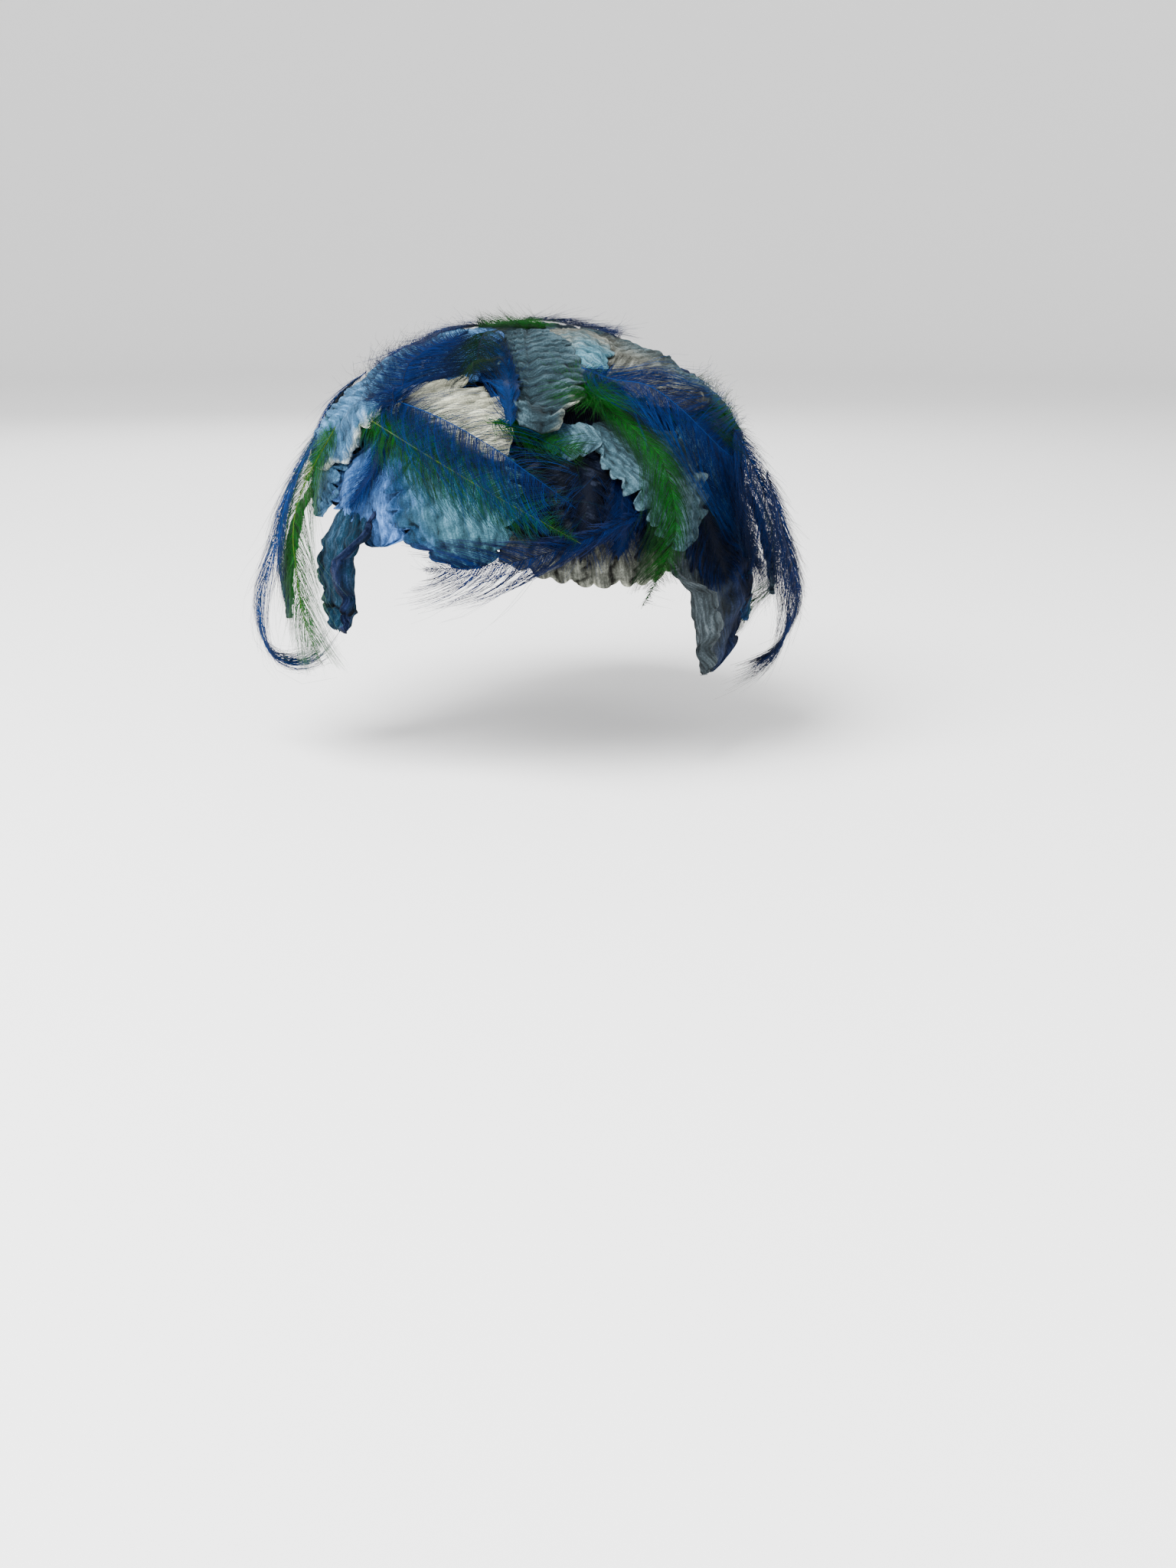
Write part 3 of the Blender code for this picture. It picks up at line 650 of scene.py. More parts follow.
class Socket:
    """A shader value that plain expressions can add, scale and compare."""

    def __init__(self, shader, link):
        self.shader, self.link = shader, link

    def _math(self, operation, *values):
        return self.shader.node("ShaderNodeMath", {"operation": operation}, dict(enumerate(values)))

    def __add__(self, other):
        return self._math("ADD", self, other)

    def __radd__(self, other):
        return self._math("ADD", other, self)

    def __sub__(self, other):
        return self._math("SUBTRACT", self, other)

    def __rsub__(self, other):
        return self._math("SUBTRACT", other, self)

    def __mul__(self, other):
        return self._math("MULTIPLY", self, other)

    def __rmul__(self, other):
        return self._math("MULTIPLY", other, self)

    def sine(self):
        return self._math("SINE", self)

    def at_least(self, low):
        return self._math("MAXIMUM", self, low)

    def clamped(self):
        return self._math("MINIMUM", self._math("MAXIMUM", self, 0.0), 1.0)

    def between(self, low, high):
        """0 up to low, 1 from high on, and smooth between them."""
        settings = {"interpolation_type": "SMOOTHSTEP"}
        return self.shader.node("ShaderNodeMapRange", settings, {0: self, 1: low, 2: high})


class Shader:
    """One material in the making."""

    def __init__(self, name):
        self.material = bpy.data.materials.new(name)
        self.material.use_nodes = True
        self.tree = self.material.node_tree
        self.surface = self.tree.nodes["Principled BSDF"]

    def node(self, kind, settings=None, values=None, output=0):
        made = self.tree.nodes.new(kind)
        for key, value in (settings or {}).items():
            setattr(made, key, value)
        for key, value in (values or {}).items():
            self.feed(made.inputs[key], value)
        return Socket(self, made.outputs[output])

    def feed(self, socket, value):
        if isinstance(value, Socket):
            self.tree.links.new(value.link, socket)
        elif socket.type == "RGBA":
            socket.default_value = (*value[:3], 1.0)
        elif socket.type == "VECTOR":
            socket.default_value = tuple(value)
        else:
            socket.default_value = value

    def attribute(self, name):
        return self.node("ShaderNodeAttribute", {"attribute_name": name}, output="Fac")

    def place(self):
        return self.node("ShaderNodeTexCoord", output="Object")

    def noise(self, scale, detail, vector=None):
        values = {"Vector": vector or self.place(), "Scale": scale, "Detail": detail}
        return self.node("ShaderNodeTexNoise", None, values)

    def streaks(self, position, scale):
        values = {"W": position, "Scale": scale, "Detail": 2.0}
        return self.node("ShaderNodeTexNoise", {"noise_dimensions": "1D"}, values)

    def mix(self, factor, first, second):
        return self.node("ShaderNodeMix", {"data_type": "RGBA"}, {0: factor, 6: first, 7: second}, 2)

    def axes(self):
        """The x, y and z of a place on the piece, in metres."""
        split = self.node("ShaderNodeSeparateXYZ", None, {0: self.place()})
        return [Socket(self, output) for output in split.link.node.outputs]

    def vector(self, x, y, z=0.0):
        return self.node("ShaderNodeCombineXYZ", None, {0: x, 1: y, 2: z})

    def scaled(self, colour, value, lifted=0.0):
        """A colour made lighter or darker by a value, and lifted towards grey."""
        values = {0: colour, 1: self.vector(value, value, value), 2: (lifted, lifted, lifted)}
        return self.node("ShaderNodeVectorMath", {"operation": "MULTIPLY_ADD"}, values)

    def bump(self, height, distance, strength, normal=None):
        values = {"Height": height, "Distance": distance, "Strength": strength}
        if normal is not None:
            values["Normal"] = normal
        return self.node("ShaderNodeBump", None, values)

    def finish(self, **sockets):
        for key, value in sockets.items():
            self.feed(self.surface.inputs[key.replace("_", " ").title().replace("Ior", "IOR")], value)
        return self.material


CLOUD_SCALE = 80.0
FLECK_SCALE = 1700.0
BRUSH_ACROSS = 900.0
BRUSH_ALONG = 130.0


def velvet_material(look, settings):
    """Pressed cotton velvet: a short brushed pile, dyed unevenly, pale at its worn cut edges, with painted
    highlight on its rib tops and painted shade in its grooves.
    """
    shader = Shader("velvet_" + look.node)
    along, across = shader.attribute("along"), shader.attribute("across")
    ridge, edge = shader.attribute("ridge"), shader.attribute("edge")
    cloud = shader.noise(CLOUD_SCALE, 3.0)
    fleck = shader.noise(FLECK_SCALE, 2.0)
    spread, run = shader.attribute("spread") * BRUSH_ACROSS, shader.attribute("run") * BRUSH_ALONG
    brushed = shader.noise(1.0, 3.0, shader.vector(spread, run))
    weight_along, weight_across, start, end = look.fade
    turned = along * weight_along + across * weight_across + (cloud - 0.5) * 0.9 + (brushed - 0.5) * 0.5
    dye = shader.mix(turned.between(start, end), DYES[look.dye], DYES[look.second])
    # Paler at the worn cut edges, and on the rib tops as painted highlight; the noise adds uneven tone.
    worn_and_highlit = ridge * 0.7 + edge * 0.3 + (brushed - 0.5) * 1.8 + (cloud - 0.5) * 1.4 + (fleck - 0.5) * 1.0
    dye = shader.mix(worn_and_highlit.between(0.4, 1.2) * settings.wear_and_highlight, dye, shader.scaled(dye, 2.0, 0.02))
    # Painted shade: darker where the ridge value is low, in grooves, folds, dips and creases; the pile,
    # cloud and fleck noise add uneven tone.
    shade = 0.22 + ridge * 0.76 + (brushed - 0.5) * 1.6 + (cloud - 0.5) * 1.0 + (fleck - 0.5) * 0.8
    bump = shader.bump(brushed, settings.pile_height * 2.0, 0.9)
    bump = shader.bump(fleck, settings.pile_height, 0.8, bump)
    return shader.finish(
        base_color=shader.scaled(dye, shade.at_least(0.06)),
        roughness=0.86 + (fleck - 0.5) * 0.2,
        normal=bump,
        sheen_weight=0.06,
        sheen_roughness=0.5,
        sheen_tint=tuple(0.4 + 0.6 * value for value in DYES[look.dye]),
        specular_ior_level=0.05,
    )


def plume_material(look):
    """Dyed hackle: barbs that run from the core dye at the quill to thinner, greyer ends."""
    shader = Shader("plume_" + look.node)
    reach, span = shader.attribute("reach"), shader.attribute("span")
    tint, kind = shader.attribute("tint"), shader.attribute("kind")
    cloud = shader.noise(60.0, 2.0)
    ends = (reach + (cloud - 0.5) * 0.8 + (tint - 0.5) * 0.5).between(0.3, 1.0)
    dye = shader.mix(ends, DYES[look.core], DYES[look.outer])
    streak = shader.streaks(span * 9.0 - reach * 1.4, 24.0)
    shade = 0.12 + tint * 1.4 + (streak - 0.5) * 1.2 * (1.0 - kind) + (cloud - 0.5) * 0.8
    dye = shader.scaled(dye, shade.at_least(0.15))
    dye = shader.mix((kind - 1.0).clamped(), dye, DYES[look.quill])
    return shader.finish(
        base_color=dye,
        roughness=0.62 + (tint - 0.5) * 0.2,
        normal=shader.bump(streak, 0.0003, 0.8),
        specular_ior_level=0.08,
    )


def shell_material(settings):
    """Stiffened cloth with a plain weave."""
    shader = Shader("stiffened_cloth")
    x, y, z = shader.axes()
    thread = 2.0 * math.pi / settings.thread_pitch
    weave = (x * thread).sine() * ((y + z) * thread).sine()
    cloud = shader.noise(120.0, 3.0)
    return shader.finish(
        base_color=shader.scaled(DYES["shell"], 0.7 + 0.5 * cloud + 0.12 * weave),
        roughness=0.85 + (cloud - 0.5) * 0.2,
        normal=shader.bump(weave, 0.00025, 0.7),
        sheen_weight=0.03,
        specular_ior_level=0.1,
    )


def number(name, description, default, **kind):
    """A number that a user can change."""
    return bpy.props.FloatProperty(name=name, description=description, default=default, **kind)


def length(name, description, default):
    return number(name, description, default, unit="LENGTH")


class ShellSettings(bpy.types.PropertyGroup):
    thickness: length("Thickness", "Thickness of the stiffened cloth", 0.002)
    thread_pitch: length("Thread pitch", "Distance between threads of the weave", 0.0011)


class VelvetSettings(bpy.types.PropertyGroup):
    thickness: length("Thickness", "Thickness of a leaf with its pile", 0.0010)
    rib_height: length("Rib height", "Height of the pressed ribs", 0.0009)
    fold_height: length("Fold height", "Height of the soft lengthwise folds", 0.0013)
    ruffle: length("Ruffle", "How far the edges curl up and down", 0.0007)
    lobe_depth: number("Lobe depth", "How deep the lobes are cut, as a share of the half width", 0.24)
    tooth_depth: number("Tooth depth", "How deep the teeth are cut, as a share of the half width", 0.09)
    pile_height: length("Pile height", "Depth of the brushed pile", 0.00035)
    # How much paler the worn cut edges and the painted highlight on the rib tops are.
    wear_and_highlight: number("Wear", "How pale the rubbed ribs are", 0.6, subtype="FACTOR", min=0.0, max=1.0)


class PlumeSettings(bpy.types.PropertyGroup):
    barb_width: length("Barb width", "Half width of a barb at the quill", 0.00012)
    barb_depth: length("Barb depth", "Half depth of a barb at the quill", 0.00006)
    quill_radius: length("Quill radius", "Radius of the quill at its root", 0.00022)
    loft: length("Loft", "How high the barbs stand over the leaves at their ends", 0.0012)
    stray_lift: length("Stray lift", "How high the loosest barbs stand up", 0.006)
    fluff: number("Fluff", "Short barbs for each long one", 0.6, subtype="FACTOR", min=0.0, max=2.0)
    gather: number("Gather", "How far the ends of a clump draw together", 0.6, subtype="FACTOR")


class StageSettings(bpy.types.PropertyGroup):
    floor_colour: bpy.props.FloatVectorProperty(
        name="Floor", description="Colour of the floor", subtype="COLOR", default=(0.95, 0.95, 0.95)
    )
    floor_drop: length("Floor drop", "How far the floor lies below the cap", 0.03)
    key_power: number("Key light", "Power of the key light", 80.0, unit="POWER")
    fill_power: number("Fill light", "Power of the fill light", 8.0, unit="POWER")
    sky_strength: number("Sky", "Strength of the light from all round", 0.6)


def random_for(name):
    """The same run of random numbers each time for one piece."""
    return np.random.default_rng(sum(ord(letter) * (place + 7) for place, letter in enumerate(name)))


def wander(random, position, waves, strength):
    """A smooth uneven line: a few waves of random length and start."""
    total = 0.0
    for _ in range(waves):
        wave, start = random.uniform(0.6, 2.4), random.uniform(0, 2 * math.pi)
        total = total + np.sin(position * wave * math.pi + start)
    return total * strength / waves


LEAF_GRID = (80, 36)  # rows and columns of a leaf in the photo's view
PLAIN_GRID = (60, 28)
BACK_HALF_DEG = 90.0
LOBE_ROUNDNESS = 0.55
LEAF_FULLNESS = 1.04  # the outline before it is cut, against the solid's
TIP_FROM, TIP_SPAN, BLUNTEST_TIP = 0.92, 0.085, 0.3
VEIN_WIDTH = 0.05
FOLDS_ACROSS = 2.6
CRUMPLE_HEIGHT = 0.0007
CREASE_WIDTH = 0.013
ROOT_SPAN, ROOT_RELIEF = 0.1, 0.2
TUCKED_SHARE = 0.3
FULL_RELIEF_WIDTH = 0.03
CUT_EDGE = 0.14  # how much of the half width the rubbed edge takes


def pleated(position):
    """A ridge at each whole number, 0 to 1, broad at the top and narrow in the groove."""
    return np.abs(np.cos(math.pi * position)) ** 0.6


def leaf_outline(look, lay, settings, random, share, side):
    """Half the leaf's width, cut into lobes and teeth, and the ribs that run out to the teeth."""
    reach, left = np.abs(side), (side < 0).astype(float)
    stagger = left * random.uniform(0.2, 0.6)
    lobe = share * look.lobes + stagger + wander(random, share * 2.0, 3, 0.3)
    between_lobes = 1.0 - np.abs(np.sin(math.pi * lobe)) ** LOBE_ROUNDNESS
    depth = settings.lobe_depth * (1.0 + wander(random, lobe, 3, 0.9))
    uneven = wander(random, share * 3.0 + side, 3, 0.2)
    if look.slant:
        rib = pleated(look.ribs * (share + look.slant * side + 0.04 * reach**2) + uneven)
    else:
        rib = pleated(look.ribs * (share - 0.05 * reach) + stagger + uneven)
    tooth = np.where(left > 0, rib[:, :1], rib[:, -1:])
    bounded = LEAF_FULLNESS - depth * between_lobes - settings.tooth_depth * (1.0 - tooth)
    rounded = np.sqrt(np.clip(1.0 - np.clip((share - TIP_FROM) / TIP_SPAN, 0.0, 1.0) ** 2, 0.0, 1.0))
    half = lay.half(share) * (1.0 + (bounded - 1.0) * reach**3) * np.maximum(rounded, BLUNTEST_TIP)
    return half * np.where(side < 0, *look.sides), rib


def leaf_relief(look, settings, random, share, side, rib):
    """How high the leaf stands at each place, and how far the place is out of its grooves: the mask by
    which the material paints shade in the grooves and highlight on the ridges.
    """
    reach, left = np.abs(side), (side < 0).astype(float)
    veined = np.exp(-((side / VEIN_WIDTH) ** 2))
    fold_place = FOLDS_ACROSS * side + wander(random, share * 1.5, 3, 0.35) + random.uniform(0.0, 1.0)
    fold = pleated(fold_place) * look.folds
    ruffle = wander(random, share * look.lobes * 0.8 + left, 3, 1.4) * reach**3
    crumple = wander(random, share * 9.0 + side * 3.0, 5, CRUMPLE_HEIGHT)
    crumple = crumple + wander(random, side * 7.0 - share * 4.0, 5, CRUMPLE_HEIGHT)
    crease = 0.0 * share * side
    for place in look.creases:
        line = share - place + wander(random, side * 2.0, 3, 0.03)
        crease = crease + np.exp(-((line / CREASE_WIDTH) ** 2))
    lift = (
        settings.rib_height * (look.pleats * rib * np.clip(reach / 0.15, 0.3, 1.0) - 0.2 * veined)
        + settings.fold_height * fold * (0.4 + 0.6 * share)
        + settings.ruffle * ruffle
        + crumple
        - settings.fold_height * crease
    )
    lift = lift * np.clip(share / ROOT_SPAN, ROOT_RELIEF, 1.0)
    lift = lift * min(1.0, look.cut.width / FULL_RELIEF_WIDTH) ** 2
    tucked = look.tuck * np.clip(1.0 - share / TUCKED_SHARE, 0.0, 1.0) ** 0.5
    # Grooves between ribs and folds, the vein, the dips of the crumple and the creases count against the
    # ridge value; the material darkens them as painted shade.
    groove = (1.0 - rib) * look.pleats * 0.55 + (look.folds - fold) * 0.75 + veined * 0.05
    ridge = np.clip(1.0 - groove - np.clip(-crumple / 0.0006, 0.0, 1.0) * 0.3 - crease, -0.4, 1.0)
    return lift - np.minimum(lift, 0.0) * 0.5 - tucked, ridge


def add_sheet(shape, size, layers, **values):
    """Adds one closed sheet, from the points of its lower and of its upper face."""
    row, column, face, faces = grid_pattern(*size)
    points = np.where((face == 0)[:, None], layers[0][row, column], layers[1][row, column])
    for name, value in values.items():
        values[name] = np.broadcast_to(value, layers[0].shape[:2])[row, column]
    shape.add(points, faces, **values)


def velvet_leaf(look, settings):
    """One pressed leaf: lobed and toothed edges, ribs that run out to them, and soft folds."""
    lay, random = Lay(look.node, look.cut), random_for(look.node)
    rows, columns = LEAF_GRID if abs(look.cut.root[0]) < BACK_HALF_DEG else PLAIN_GRID
    share = np.linspace(0.0, 1.0, rows + 1)[:, None]
    side = np.linspace(-1.0, 1.0, columns + 1)[None, :]
    half, rib = leaf_outline(look, lay, settings, random, share, side)
    lift, ridge = leaf_relief(look, settings, random, share, side, rib)
    layers = [lay.sheet(share, side, half, lift + settings.thickness * upper)[0] for upper in (0, 1)]
    seed = random.uniform(0.0, 10.0)
    lengthwise, crosswise = share * lay.length + 0.0 * side, side * half
    if look.folds > 0.0 and look.pleats < 1.0:
        spread, run = crosswise, lengthwise
    else:
        spread, run = lengthwise - 0.3 * np.abs(crosswise), crosswise
    edge = np.clip((np.abs(side) - (1.0 - CUT_EDGE)) / CUT_EDGE, 0.0, 1.0)
    shape = Shape()
    add_sheet(
        shape, (rows, columns), layers,
        along=share, across=side, ridge=ridge, edge=edge, spread=spread + seed, run=run,
    )
    piece = shape.finish("velvet_" + look.node, velvet_material(look, settings))
    slot_of(look.node)
    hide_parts(look.node)
    area = float(np.trapz(sum(look.sides) * lay.half(share[:, 0]), share[:, 0]) * lay.length)
    held = "hung" if look in EAR_LEAVES else "laid"
    flat = (look.cut.width * sum(look.sides) / 2.0, lay.length)
    return piece


def slot_of(node):
    """The finish that the record gives a solid."""
    return next(part["material_slot"] for part in frame["record"]["subparts"] if part["node"] == node)


VANE_GRID = (50, 6)
VANE_THICKNESS = 0.00012
ROOT_ANGLE = 50.0
LAST_BARB = 0.985  # where on the quill the last barb grows
FLUFF_REACH = 0.5
CLUMP_SIZES = (3.5, 5.5)
MOOD_TURNS = (12.9898, 4.1414)  # turns that give neighbouring clumps unlike moods
STEEPEST, FLATTEST = 82.0, 5.0
BARB_CURL, STRAY_CURL = 0.0005, 0.0040
SPAN_SCALE = 10.0


def plume(look, settings):
    """One hackle feather: a quill, barbs that part to their ends, fluff by the quill, and loose barbs."""
    lay, random = Lay(look.node, look.cut, look.raised), random_for(look.node)
    shape = Shape()
    if look.vane:
        add_vane(shape, lay, random, look)
    add_quill(shape, lay, look, settings)
    for side in (-1.0, 1.0):
        count = int(look.barbs * look.counts[int(side > 0)])
        short = int(count * settings.fluff)
        add_barbs(shape, lay, random, look, settings, side, count, 1.0, BARB_PATTERN)
        add_barbs(shape, lay, random, look, settings, side, short, FLUFF_REACH, FLUFF_PATTERN)
    if look.down:
        add_down(shape, lay, random, look, settings)
    piece = shape.finish("plume_" + look.node, plume_material(look))
    slot_of(look.node)
    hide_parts(look.node)
    return piece


def add_vane(shape, lay, random, look):
    """The thin web near the quill where the barbs still hold together."""
    share = np.linspace(0.02, 0.97, VANE_GRID[0] + 1)[:, None]
    side = np.linspace(-1.0, 1.0, VANE_GRID[1] + 1)[None, :]
    frayed = 1.0 + wander(random, share * 14.0 + side, 4, 0.5)
    half = lay.half(share) * look.vane * frayed * np.clip((1.0 - share) / 0.25, 0.25, 1.0)
    across = side * half
    slant = share + np.abs(across) / lay.length
    thick = 0.0002 + VANE_THICKNESS * (1.0 - side**2)
    layers = [lay.strand(slant, across, VANE_THICKNESS + thick * upper)[0] for upper in (0, 1)]
    span = share * lay.length * SPAN_SCALE
    add_sheet(shape, VANE_GRID, layers, reach=np.abs(side) * 0.5, span=span, tint=0.3, kind=0.0)


def add_quill(shape, lay, look, settings):
    share = np.linspace(-0.01, look.quill_share, QUILL_RINGS)[None, :]
    curves, normals = lay.strand(share, 0.0 * share, settings.quill_radius * 1.3 + 0.0 * share)
    radius = np.array([settings.quill_radius])
    span = share * lay.length * SPAN_SCALE
    add_strands(
        shape, QUILL_PATTERN, curves, normals, radius, radius,
        reach=0.0, span=span, tint=0.5, kind=2.0,
    )


def add_barbs(shape, lay, random, look, settings, side, count, far, pattern):
    """Barbs on one side of the quill. They leave it steeply, bend to the tip and gather in clumps."""
    root = (np.arange(count) + random.uniform(0.0, 1.0, count)) / count * look.quill_share
    root = (root * LAST_BARB)[:, None]
    t = np.linspace(0.0, 1.0, pattern[0].max() + 1)[None, :]
    clump = root * count / random.uniform(*CLUMP_SIZES) + 0.6 * wander(random, root * 20.0, 3, 1.0)
    clump = np.floor(clump)
    clump_mean = np.array([root[clump == each].mean() for each in clump[:, 0]])[:, None]
    mood = np.sin(clump * MOOD_TURNS[0]) * np.cos(clump * MOOD_TURNS[1])
    stray = (random.random((count, 1)) < look.loose).astype(float)
    jitter = random.normal(0.0, 1.0, (count, 1))
    steep = look.angle + max(0.0, ROOT_ANGLE - look.angle) * np.exp(-root / 0.08)
    angle = steep * (1.0 + 0.12 * mood + 0.06 * jitter) + 10.0 * stray * jitter
    angle = np.radians(np.clip(angle, FLATTEST, STEEPEST))
    half = lay.half(np.clip(root, 0.1, 1.0)) * look.reach
    tapered = np.clip((1.0 - root) / 0.22, 0.35, 1.0) * (1.0 - look.late * np.exp(-((root / 0.45) ** 4)))
    uneven = 1.0 + 0.10 * jitter + 0.16 * mood + 0.3 * stray
    out = half * far * look.sides[int(side > 0)] * uneven * tapered
    ahead = np.minimum(out / np.tan(angle), 0.30 * lay.length * (1.0 + 0.15 * jitter))
    ahead = ahead * np.clip((1.08 - root) / 0.3, 0.3, 1.0)
    gather = (clump_mean - root) * settings.gather * (1.0 - stray)
    across = side * out * (1.0 - (1.0 - t) ** 1.5)
    along = root + ahead / lay.length * t**1.3 + gather * t**1.5
    curl = random.normal(0.0, 1.0, (count, 1)) * (BARB_CURL + STRAY_CURL * stray)
    across = across + side * curl * t**2
    loft = settings.loft * look.loft * far * (0.5 + random.random((count, 1)) + 0.5 * mood) * t**1.3
    lift = 0.0003 + loft + stray * random.uniform(0.0, 1.0, (count, 1)) ** 2 * settings.stray_lift * t**1.6
    curves, normals = lay.strand(along, across, np.maximum(lift, 0.0001))
    width = settings.barb_width * look.stout * (1.0 - 0.4 * stray[:, 0])
    width = width * random.uniform(0.6, 1.2, count) * far**0.3
    tint = np.clip(0.5 + 0.22 * random.normal(0.0, 1.0, (count, 1)) + 0.4 * mood, 0.0, 1.0)
    add_strands(
        shape, pattern, curves, normals, width, settings.barb_depth * np.ones(count),
        reach=t * far + 0.2 * stray, span=root * lay.length * SPAN_SCALE, tint=tint, kind=1.0,
    )


def add_down(shape, lay, random, look, settings):
    """Short down round the root."""
    count = look.down
    t = np.linspace(0.0, 1.0, FLUFF_RINGS)[None, :]
    turn = random.uniform(*look.tuft_turns, (count, 1)) * math.pi
    length = random.uniform(0.004, 0.006 + look.tuft, (count, 1))
    wave = 0.0008 * np.sin(t * random.uniform(3.0, 7.0, (count, 1)) + turn)
    along = (random.uniform(0.0, 0.010, (count, 1)) + np.cos(turn) * length * t) / lay.length
    across = np.sin(turn) * length * t + wave
    lift = 0.0008 + random.uniform(0.3, 1.0, (count, 1)) * (0.0010 + 0.5 * look.tuft) * t**0.6
    curves, normals = lay.strand(along, across, lift)
    width, depth = np.full(count, settings.barb_width), np.full(count, settings.barb_depth)
    tint = random.uniform(0.4, 1.0, (count, 1))
    add_strands(
        shape, FLUFF_PATTERN, curves, normals, width, depth,
        reach=t * 0.6, span=0.0 * t, tint=tint, kind=1.0,
    )


SHELL_ROUND = 96
SHELL_DOWN = 24


def hem_down(around):
    """How far down the dome the shell's edge lies, in degrees."""
    at_nape, at_right = HEM_LOWER_AT_NAPE_DEG * math.cos(around), HEM_LOWER_AT_RIGHT_DEG * math.sin(around)
    return HEM_DOWN_DEG + at_nape + at_right


def cap_body(settings):
    """The stiffened cap under the trimmings: a dome of even thickness with a softly rounded edge."""
    dome = bmesh.new()
    bmesh.ops.create_uvsphere(dome, u_segments=SHELL_ROUND, v_segments=2 * SHELL_DOWN, radius=1.0)
    bmesh.ops.delete(dome, geom=[vert for vert in dome.verts if vert.co.z < -0.01], context="VERTS")
    raised = bmesh.ops.extrude_face_region(dome, geom=dome.faces[:], use_keep_orig=True)
    for vert in raised["geom"]:
        if isinstance(vert, bmesh.types.BMVert):
            vert.co *= 2.0
    for vert in dome.verts:
        layer = vert.co.length - 1.0
        ball = vert.co.normalized()
        around = math.atan2(-ball.x, ball.y)
        down_share = math.acos(max(-1.0, min(1.0, ball.z))) / (math.pi / 2.0)
        place = direction_of(math.degrees(around), hem_down(around) * down_share)
        vert.co = dome_point(place, settings.thickness * layer)[0]
    bmesh.ops.recalc_face_normals(dome, faces=dome.faces)
    piece = add_solid(bpy.data.meshes.new("cap_body"), dome, shell_material(settings))
    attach(piece, "root")
    slot_of("cap_shell")
    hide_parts("cap_shell")
    return piece


CAMERA_DISTANCE = 0.75
CAMERA_ELEVATION = 8.0
CAMERA_YAW = 1.90
CAMERA_PITCH = 15.74
CAMERA_LENS = 43.95
DOME_CENTRE = Vector((0.0, 0.0, -CROWN_HEIGHT))
STAGE_RADIUS = 2.2
COVE_RADIUS = 0.8
COVE_STEPS = 12
WALL_TOP = 2.5
FLOOR_ROUND = 64
LIGHTS = (  # name, place, size, and the setting that holds its power
    ("key", (0.55, 0.65, 1.05), 1.1, "key_power"),
    ("fill", (-1.1, 0.6, 0.35), 0.9, "fill_power"),
    ("back", (0.2, -1.1, 0.6), 0.9, "fill_power"),
)


def stage_floor(settings, level):
    """A round pale floor that curves up into a wall."""
    cove = bmesh.new()
    profile = [(0.0, 0.0), (STAGE_RADIUS, 0.0)]
    for step in range(1, COVE_STEPS + 1):
        turn = math.pi / 2.0 * step / COVE_STEPS
        profile.append((STAGE_RADIUS + COVE_RADIUS * math.sin(turn), COVE_RADIUS * (1.0 - math.cos(turn))))
    profile.append((STAGE_RADIUS + COVE_RADIUS, WALL_TOP))
    verts = [cove.verts.new((x, 0.0, z + level)) for x, z in profile]
    edges = [cove.edges.new(pair) for pair in zip(verts, verts[1:])]
    bmesh.ops.spin(
        cove, geom=verts + edges, cent=(0, 0, 0), axis=(0, 0, 1), dvec=(0, 0, 0), angle=2 * math.pi,
        steps=FLOOR_ROUND, use_merge=True,
    )
    bmesh.ops.remove_doubles(cove, verts=cove.verts, dist=1e-5)
    paint = Shader("pale_floor").finish(
        base_color=tuple(settings.floor_colour), roughness=0.9, specular_ior_level=0.1
    )
    floor = add_solid(bpy.data.meshes.new("floor"), cove, paint)


def soft_light(name, place, size, power):
    """An area light that faces the cap."""
    light = bpy.data.lights.new(name, "AREA")
    light.size, light.energy = size, power
    lamp = add_object(name, light)
    lamp.location = place
    lamp.rotation_mode = "QUATERNION"
    lamp.rotation_quaternion = (DOME_CENTRE - Vector(place)).to_track_quat("-Z", "Y")


def photo_camera():
    """The camera behind the cap and a little above it."""
    rise, yaw, pitch = (math.radians(angle) for angle in (CAMERA_ELEVATION, CAMERA_YAW, CAMERA_PITCH))
    camera = bpy.data.cameras.new("camera")
    camera.lens, camera.sensor_width, camera.clip_start = CAMERA_LENS, 36.0, 0.01
    view = add_object("camera", camera)
    view.location = DOME_CENTRE + Vector((0.0, math.cos(rise), math.sin(rise))) * CAMERA_DISTANCE
    aim = Vector((-math.sin(yaw) * math.cos(pitch), -math.cos(yaw) * math.cos(pitch), -math.sin(pitch)))
    view.rotation_mode = "QUATERNION"
    view.rotation_quaternion = aim.to_track_quat("-Z", "Y")
    bpy.context.scene.camera = view


class CAP_OT_body(bpy.types.Operator):
    """Make the stiffened cap under the trimmings"""

    bl_idname = "cap.make_body"
    bl_label = "Cap Body"

    def execute(self, context):
        cap_body(context.scene.cap_shell)
        return {"FINISHED"}


class CAP_OT_leaves(bpy.types.Operator):
    """Lay the velvet leaves on the cap"""

    bl_idname = "cap.lay_leaves"
    bl_label = "Velvet Leaves"

    def execute(self, context):
        for look in CAP_LEAVES:
            velvet_leaf(look, context.scene.cap_velvet)
        return {"FINISHED"}


class CAP_OT_ear_leaves(bpy.types.Operator):
    """Hang the ear leaves below the edge"""

    bl_idname = "cap.hang_ear_leaves"
    bl_label = "Ear Leaves"

    def execute(self, context):
        for look in EAR_LEAVES:
            velvet_leaf(look, context.scene.cap_velvet)
        return {"FINISHED"}


class CAP_OT_plumes(bpy.types.Operator):
    """Lay the feathers on the leaves"""

    bl_idname = "cap.lay_plumes"
    bl_label = "Laid Feathers"

    def execute(self, context):
        for look in CAP_PLUMES:
            plume(look, context.scene.cap_plume)
        return {"FINISHED"}


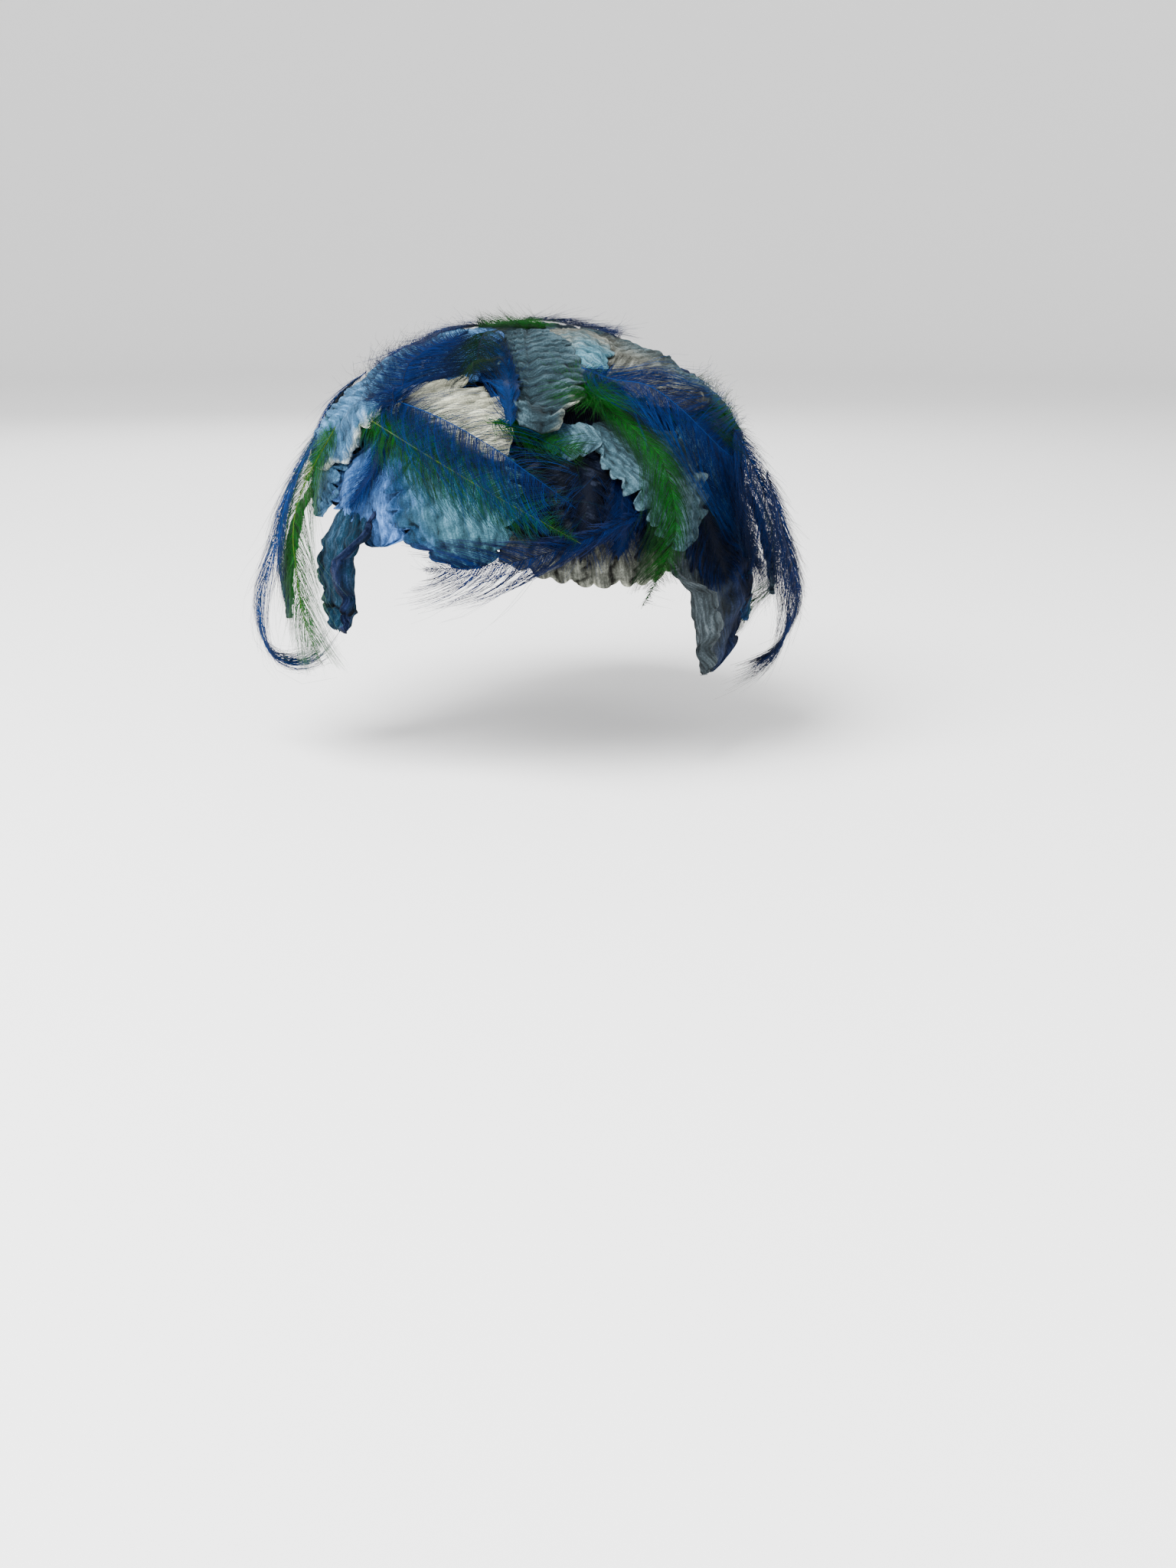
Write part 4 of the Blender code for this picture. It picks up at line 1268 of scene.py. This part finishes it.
class CAP_OT_loose_plumes(bpy.types.Operator):
    """Let the long feathers fall past the ears"""

    bl_idname = "cap.hang_plumes"
    bl_label = "Falling Feathers"

    def execute(self, context):
        for look in LOOSE_PLUMES:
            plume(look, context.scene.cap_plume)
        return {"FINISHED"}


class CAP_OT_stage(bpy.types.Operator):
    """Set the floor, the lights and the camera"""

    bl_idname = "cap.set_stage"
    bl_label = "Stage"

    def execute(self, context):
        settings = context.scene.cap_stage
        stage_floor(settings, CAD_BOX[0][2] - settings.floor_drop)
        for name, place, size, power in LIGHTS:
            soft_light(name, place, size, getattr(settings, power))
        world = bpy.data.worlds.new("sky")
        world.use_nodes = True
        sky = world.node_tree.nodes["Background"].inputs
        sky["Color"].default_value = (1.0, 1.0, 1.0, 1.0)
        sky["Strength"].default_value = settings.sky_strength
        context.scene.world = world
        photo_camera()
        return {"FINISHED"}


OPERATORS = (
    CAP_OT_body, CAP_OT_leaves, CAP_OT_ear_leaves, CAP_OT_plumes, CAP_OT_loose_plumes, CAP_OT_stage,
)
SETTINGS = {
    "cap_shell": ShellSettings,
    "cap_velvet": VelvetSettings,
    "cap_plume": PlumeSettings,
    "cap_stage": StageSettings,
}


class CAP_PT_panel(bpy.types.Panel):
    """Sizes, and the steps in the order in which they are made"""

    bl_label = "Feather Cap"
    bl_idname = "CAP_PT_panel"
    bl_space_type = "VIEW_3D"
    bl_region_type = "UI"
    bl_category = "Cap"

    def draw(self, context):
        for name, group in SETTINGS.items():
            column = self.layout.column(align=True)
            for key in group.__annotations__:
                column.prop(getattr(context.scene, name), key)
        for operator in OPERATORS:
            self.layout.operator(operator.bl_idname)


def register():
    for group in SETTINGS.values():
        bpy.utils.register_class(group)
    for name, group in SETTINGS.items():
        setattr(bpy.types.Scene, name, bpy.props.PointerProperty(type=group))
    for each in (*OPERATORS, CAP_PT_panel):
        bpy.utils.register_class(each)


def unregister():
    for each in reversed((*OPERATORS, CAP_PT_panel)):
        bpy.utils.unregister_class(each)
    for name, group in SETTINGS.items():
        delattr(bpy.types.Scene, name)
        bpy.utils.unregister_class(group)


def main():
    register()
    bpy.ops.cap.make_body()
    bpy.ops.cap.lay_leaves()
    bpy.ops.cap.hang_ear_leaves()
    bpy.ops.cap.lay_plumes()
    bpy.ops.cap.hang_plumes()
    bpy.ops.cap.set_stage()


if __name__ == "__main__":
    main()
